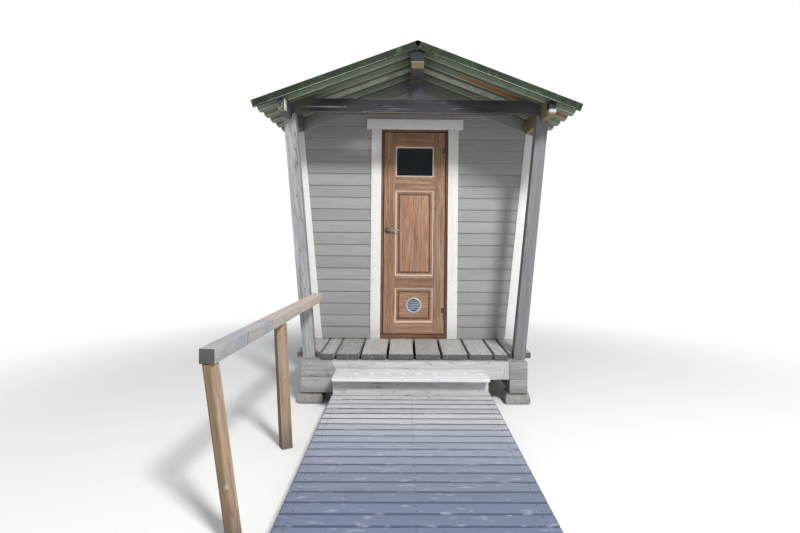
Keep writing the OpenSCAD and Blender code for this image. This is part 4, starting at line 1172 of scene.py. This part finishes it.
upwards, forwards = (0, 0, 1), (0, -1, 0)
sunk = 0.001
boards_nailed = ("walk_planks", "step_tread", "porch_planks")
walk_top, tread_top, deck_top = (round(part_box(node)[1][2], 4) for node in boards_nailed)
walk_start, walk_pitch, walk_board, walk_boards = -0.6783, 0.100, 0.095, 24
step_face = -0.700
bearer_lines = (-0.5746, -0.025, 0.5246)
from_middle = 0.027
rng = random.Random(7)
walk_nails = []
for i in range(walk_boards):
    middle = walk_start - i * walk_pitch - walk_board / 2
    for x in bearer_lines:
        for y in (middle - from_middle, middle + from_middle):
            if y < step_face:
                spot = (x + rng.uniform(-0.006, 0.006), y + rng.uniform(-0.004, 0.004), walk_top - sunk)
                walk_nails.append((spot, upwards))
heads("walk_nails", "walk_planks", walk_nails, nail_steel, Diameter=0.008, Height=0.0016)
plank_spans = [(0.010, 0.207), (0.227, 0.424), (0.444, 0.624), (0.644, 0.744)]
joist_lines = (-0.600, -0.024)
deck_nails = [((side * (near + share * (far - near)), y, deck_top - sunk), upwards)
              for side in (-1, 1) for near, far in plank_spans for share in (0.2, 0.8) for y in joist_lines]
heads("porch_nails", "porch_planks", deck_nails, nail_steel, Diameter=0.009, Height=0.0016)
tread_lines, tread_rows = (-0.601, -0.032, 0.537), (-0.74, -0.79, -0.865)
tread_nails = [((x, y, tread_top - sunk), upwards) for x in tread_lines for y in tread_rows]
heads("step_nails", "step_tread", tread_nails, nail_steel, Diameter=0.008, Height=0.0016)
trim_face = -0.0246
casing_lines, casing_levels = (0.322, 0.377), [0.45 + 0.45 * k for k in range(5)]
head_lines, head_levels = (-0.41, 0.0, 0.41), (2.311, 2.361)
trim_nails = [((side * x, trim_face, z), forwards)
              for side in (-1, 1) for x in casing_lines for z in casing_levels]
trim_nails += [((x, trim_face, z), forwards) for x in head_lines for z in head_levels]
heads("trim_nails", "architraves", trim_nails, nail_steel, Diameter=0.006, Height=0.0012)

# %% Roof screws
crest = 0.0050
screws = []
for side in (-1, 1):
    outward = Vector((side * math.sin(roof_angle), 0, math.cos(roof_angle)))
    for k in range(-1, 11):
        y = (rib_first + rib_pitch * (k + 0.5)) / 1000
        for run in (0.22, 0.66, 1.08):
            foot = Vector((side * run * math.cos(roof_angle), y, ridge_z - run * math.sin(roof_angle)))
            screws.append((tuple(foot + outward * crest), tuple(outward)))
heads("roof_screws", "roof_sheet_left", screws, screw_zinc, Diameter=0.010, Height=0.006, Washer=0.018)

# %% [markdown]
# The slats of the round vent are as long as the circle is wide at their height. They could be cut from
# long strips, but a tree finds that length with one square root. Each is a thin strip, bowed a little
# from front to back and tilted so that rain runs off outwards.

# %% Tree for the vent's slats
louvre, size = start_tree("vent_slats", {
    "Count": 6, "Pitch": 0.016, "Radius": 0.056, "Depth": 0.0105, "Thickness": 0.0016, "Tilt": 0.66,
    "Finish": None})
step = add(louvre, combine, {"Z": size["Pitch"]})
spots = add(louvre, "GeometryNodeMeshLine", {"Count": size["Count"], "Offset": step}, mode="OFFSET")
gaps = add(louvre, maths, [size["Count"], 1.0], "SUBTRACT")
tall = add(louvre, maths, [gaps, size["Pitch"]], "MULTIPLY")
drop = add(louvre, combine, {"Z": add(louvre, maths, [tall, -0.5], "MULTIPLY")})
centred = add(louvre, move, {"Geometry": spots, "Offset": drop})
height = add(louvre, split, [add(louvre, position)]).outputs["Z"]
squares = [add(louvre, maths, [value, 2.0], "POWER") for value in (size["Radius"], height)]
half_squared = add(louvre, maths, squares, "SUBTRACT")
half_chord = add(louvre, maths, [half_squared], "SQRT")
chord = add(louvre, maths, [half_chord, 2.0], "MULTIPLY")
strip = add(louvre, "GeometryNodeMeshCube", {
    "Size": (1, 1, 1), "Vertices X": 2, "Vertices Y": 4, "Vertices Z": 2})
across = add(louvre, split, [add(louvre, position)]).outputs["Y"]
bow = add(louvre, combine, {"Z": add(louvre, maths, [across, 2.0], "POWER")})
bowed = add(louvre, move, {"Geometry": strip, "Offset": bow})
scaled = add(louvre, combine, [chord, size["Depth"], size["Thickness"]])
tilted = add(louvre, combine, [size["Tilt"]])
slats = add(louvre, "GeometryNodeInstanceOnPoints", {
    "Points": centred, "Instance": bowed, "Scale": scaled, "Rotation": tilted})
end_tree(louvre, slats, size["Finish"])

# %% [markdown]
# The vent's ring and the roses are turned, and the lever is forged and bent. Modifiers could turn an
# outline or follow a curve, but one function that joins rings of points serves both: rings run round an
# axis for a turned piece, and rings set across a bent line for the lever, whose section changes along it.

# %% Helpers for turned and forged pieces
def turned_piece(outline, centre, steps):
    """An outline of radius and depth, run round an axis along Y."""
    turns = [2 * math.pi * i / steps for i in range(steps)]
    x, y, z = centre
    rings = [[(x + r * math.cos(a), y + d, z + r * math.sin(a)) for r, d in outline] for a in turns]
    return skin(rings, closed=True)


def bar_piece(line, steps=16):
    """A bar along a line of (place, half width, half height), with closed ends."""
    rings = []
    for i, (place, wide, high) in enumerate(line):
        ahead = (line[min(i + 1, len(line) - 1)][0] - line[max(i - 1, 0)][0]).normalized()
        side = ahead.cross(Vector((0, 0, 1))).normalized()
        turns = [2 * math.pi * k / steps for k in range(steps)]
        rings.append([tuple(place + side * (wide * math.cos(a)) + side.cross(ahead) * (high * math.sin(a)))
                      for a in turns])
    return skin(rings)


def metal_piece(name, shapes, material, body, node):
    """One piece from closed shapes, with outward normals and smooth curves, which stands for its node."""
    mesh = joined(name, shapes)
    clean = outward_solid([v.co for v in mesh.vertices], [f.vertices for f in mesh.polygons])
    clean.to_mesh(mesh)
    clean.free()
    settle(name, mesh, material, body, node, (node,), 40)


print("helpers for metal pieces ready")

# %% Vent, roses and lever
vent_at = (0.0, 0.0, 0.6875)
ring = [(57.8, 39.0), (57.8, 8.0), (56.0, 6.0), (60.0, 4.2), (68.0, 4.2), (71.6, 6.2), (72.4, 10.5),
        (69.0, 11.2), (60.4, 11.2), (60.2, 39.0)]
ring_outline = [(r / 1000, y / 1000) for r, y in ring]
metal_piece("vent_ring", [turned_piece(ring_outline, vent_at, 48)], enamel, "door", "door_vent")
slats = grow("vent_slats", louvre, {"Finish": enamel})
slats_y = 0.0145
slats.transform(Matrix.Translation((vent_at[0], slats_y, vent_at[2])))
settle("vent_slats", slats, enamel, "door", "door_vent")

rose_x, rose_z = -0.244667, 1.3725
rose = [(9.1, 0.0), (24.9, 0.0), (24.9, 2.2), (24.2, 3.1), (18.4, 7.1), (17.0, 7.9), (9.1, 7.9)]
roses = []
for leaf_face, way in ((0.003, -1), (0.043, 1)):
    outline = [(r / 1000, leaf_face + way * d / 1000) for r, d in rose]
    roses.append(turned_piece(outline, (rose_x, 0.0, rose_z), 32))
metal_piece("lever_roses", roses, rubbed_steel, "door", "door_roses")

# Along the lever, in mm: run from the spindle, distance out, half width and half height.
lever_line = [(0, 0, 8.8, 8.8), (0, 12, 8.8, 8.8), (0, 23.6, 8.8, 8.8), (0, 25.6, 7.0, 7.0),
              (0.9, 30, 6.8, 6.8), (3.3, 33.4, 6.7, 6.8), (6.6, 35.4, 6.5, 6.8), (12, 36.2, 6.2, 6.8),
              (40, 36.6, 5.1, 6.3), (75, 36.3, 4.5, 5.6), (100, 35.8, 4.3, 5.0), (107, 35.7, 3.5, 4.2),
              (109.6, 35.7, 1.3, 1.8)]
arms = []
for foot, way in ((0.005, -1), (0.041, 1)):
    places = [Vector((rose_x + run / 1000, foot + way * out / 1000, rose_z)) for run, out, *_ in lever_line]
    halves = [(wide / 1000, high / 1000) for *_, wide, high in lever_line]
    arms.append(bar_piece([(place, *half) for place, half in zip(places, halves)]))
spindle_half = 0.0044
spindle = [(Vector((rose_x, y, rose_z)), spindle_half, spindle_half) for y in (0.0, 0.023, 0.046)]
metal_piece("lever_worn", [*arms, bar_piece(spindle, 8)], lever_nickel, "lever", "door_lever")

# %% [markdown]
# Inside, such huts are panelled with narrow level boards. They follow the same rule as the lap boards
# outside, with an even thickness and small gaps, so the same tree and functions make them from other
# sizes.

# %% Panelling in the room
panelling = {"Cover": 0.095, "Overlap": -0.002, "Butt": 0.009, "Tip": 0.009}
inside = {**panelling, "Foot": floor_z, "Ridge": ridge_z - 0.004, "First Row": floor_z}
wall_depth, gable_spread = 0.0904, 0.17
inner_half = body_half - wall_depth
gable_half = inner_half + gable_spread
jamb_half, under_steel = 0.325, 2.73
board_walls(
    "panelling", wall_pine, -1, inner_half, jamb_half, (front_inside, back_inside),
    beside={**inside, "Rows": 20, "Top": 2.27},
    over={**inside, "Rows": 6, "Left": -gable_half, "Right": gable_half, "Top": under_steel,
          "First Row": floor_z + 21 * panelling["Cover"]},
    back={**inside, "Rows": 25, "Left": -inner_half, "Right": inner_half, "Top": under_steel,
          **leans[-1], **leans[1]},
    side={**panelling, "Rows": 20, "Left": 0.0, "Right": 1.320, "Top": (2.24 - floor_z) / math.cos(lean)})
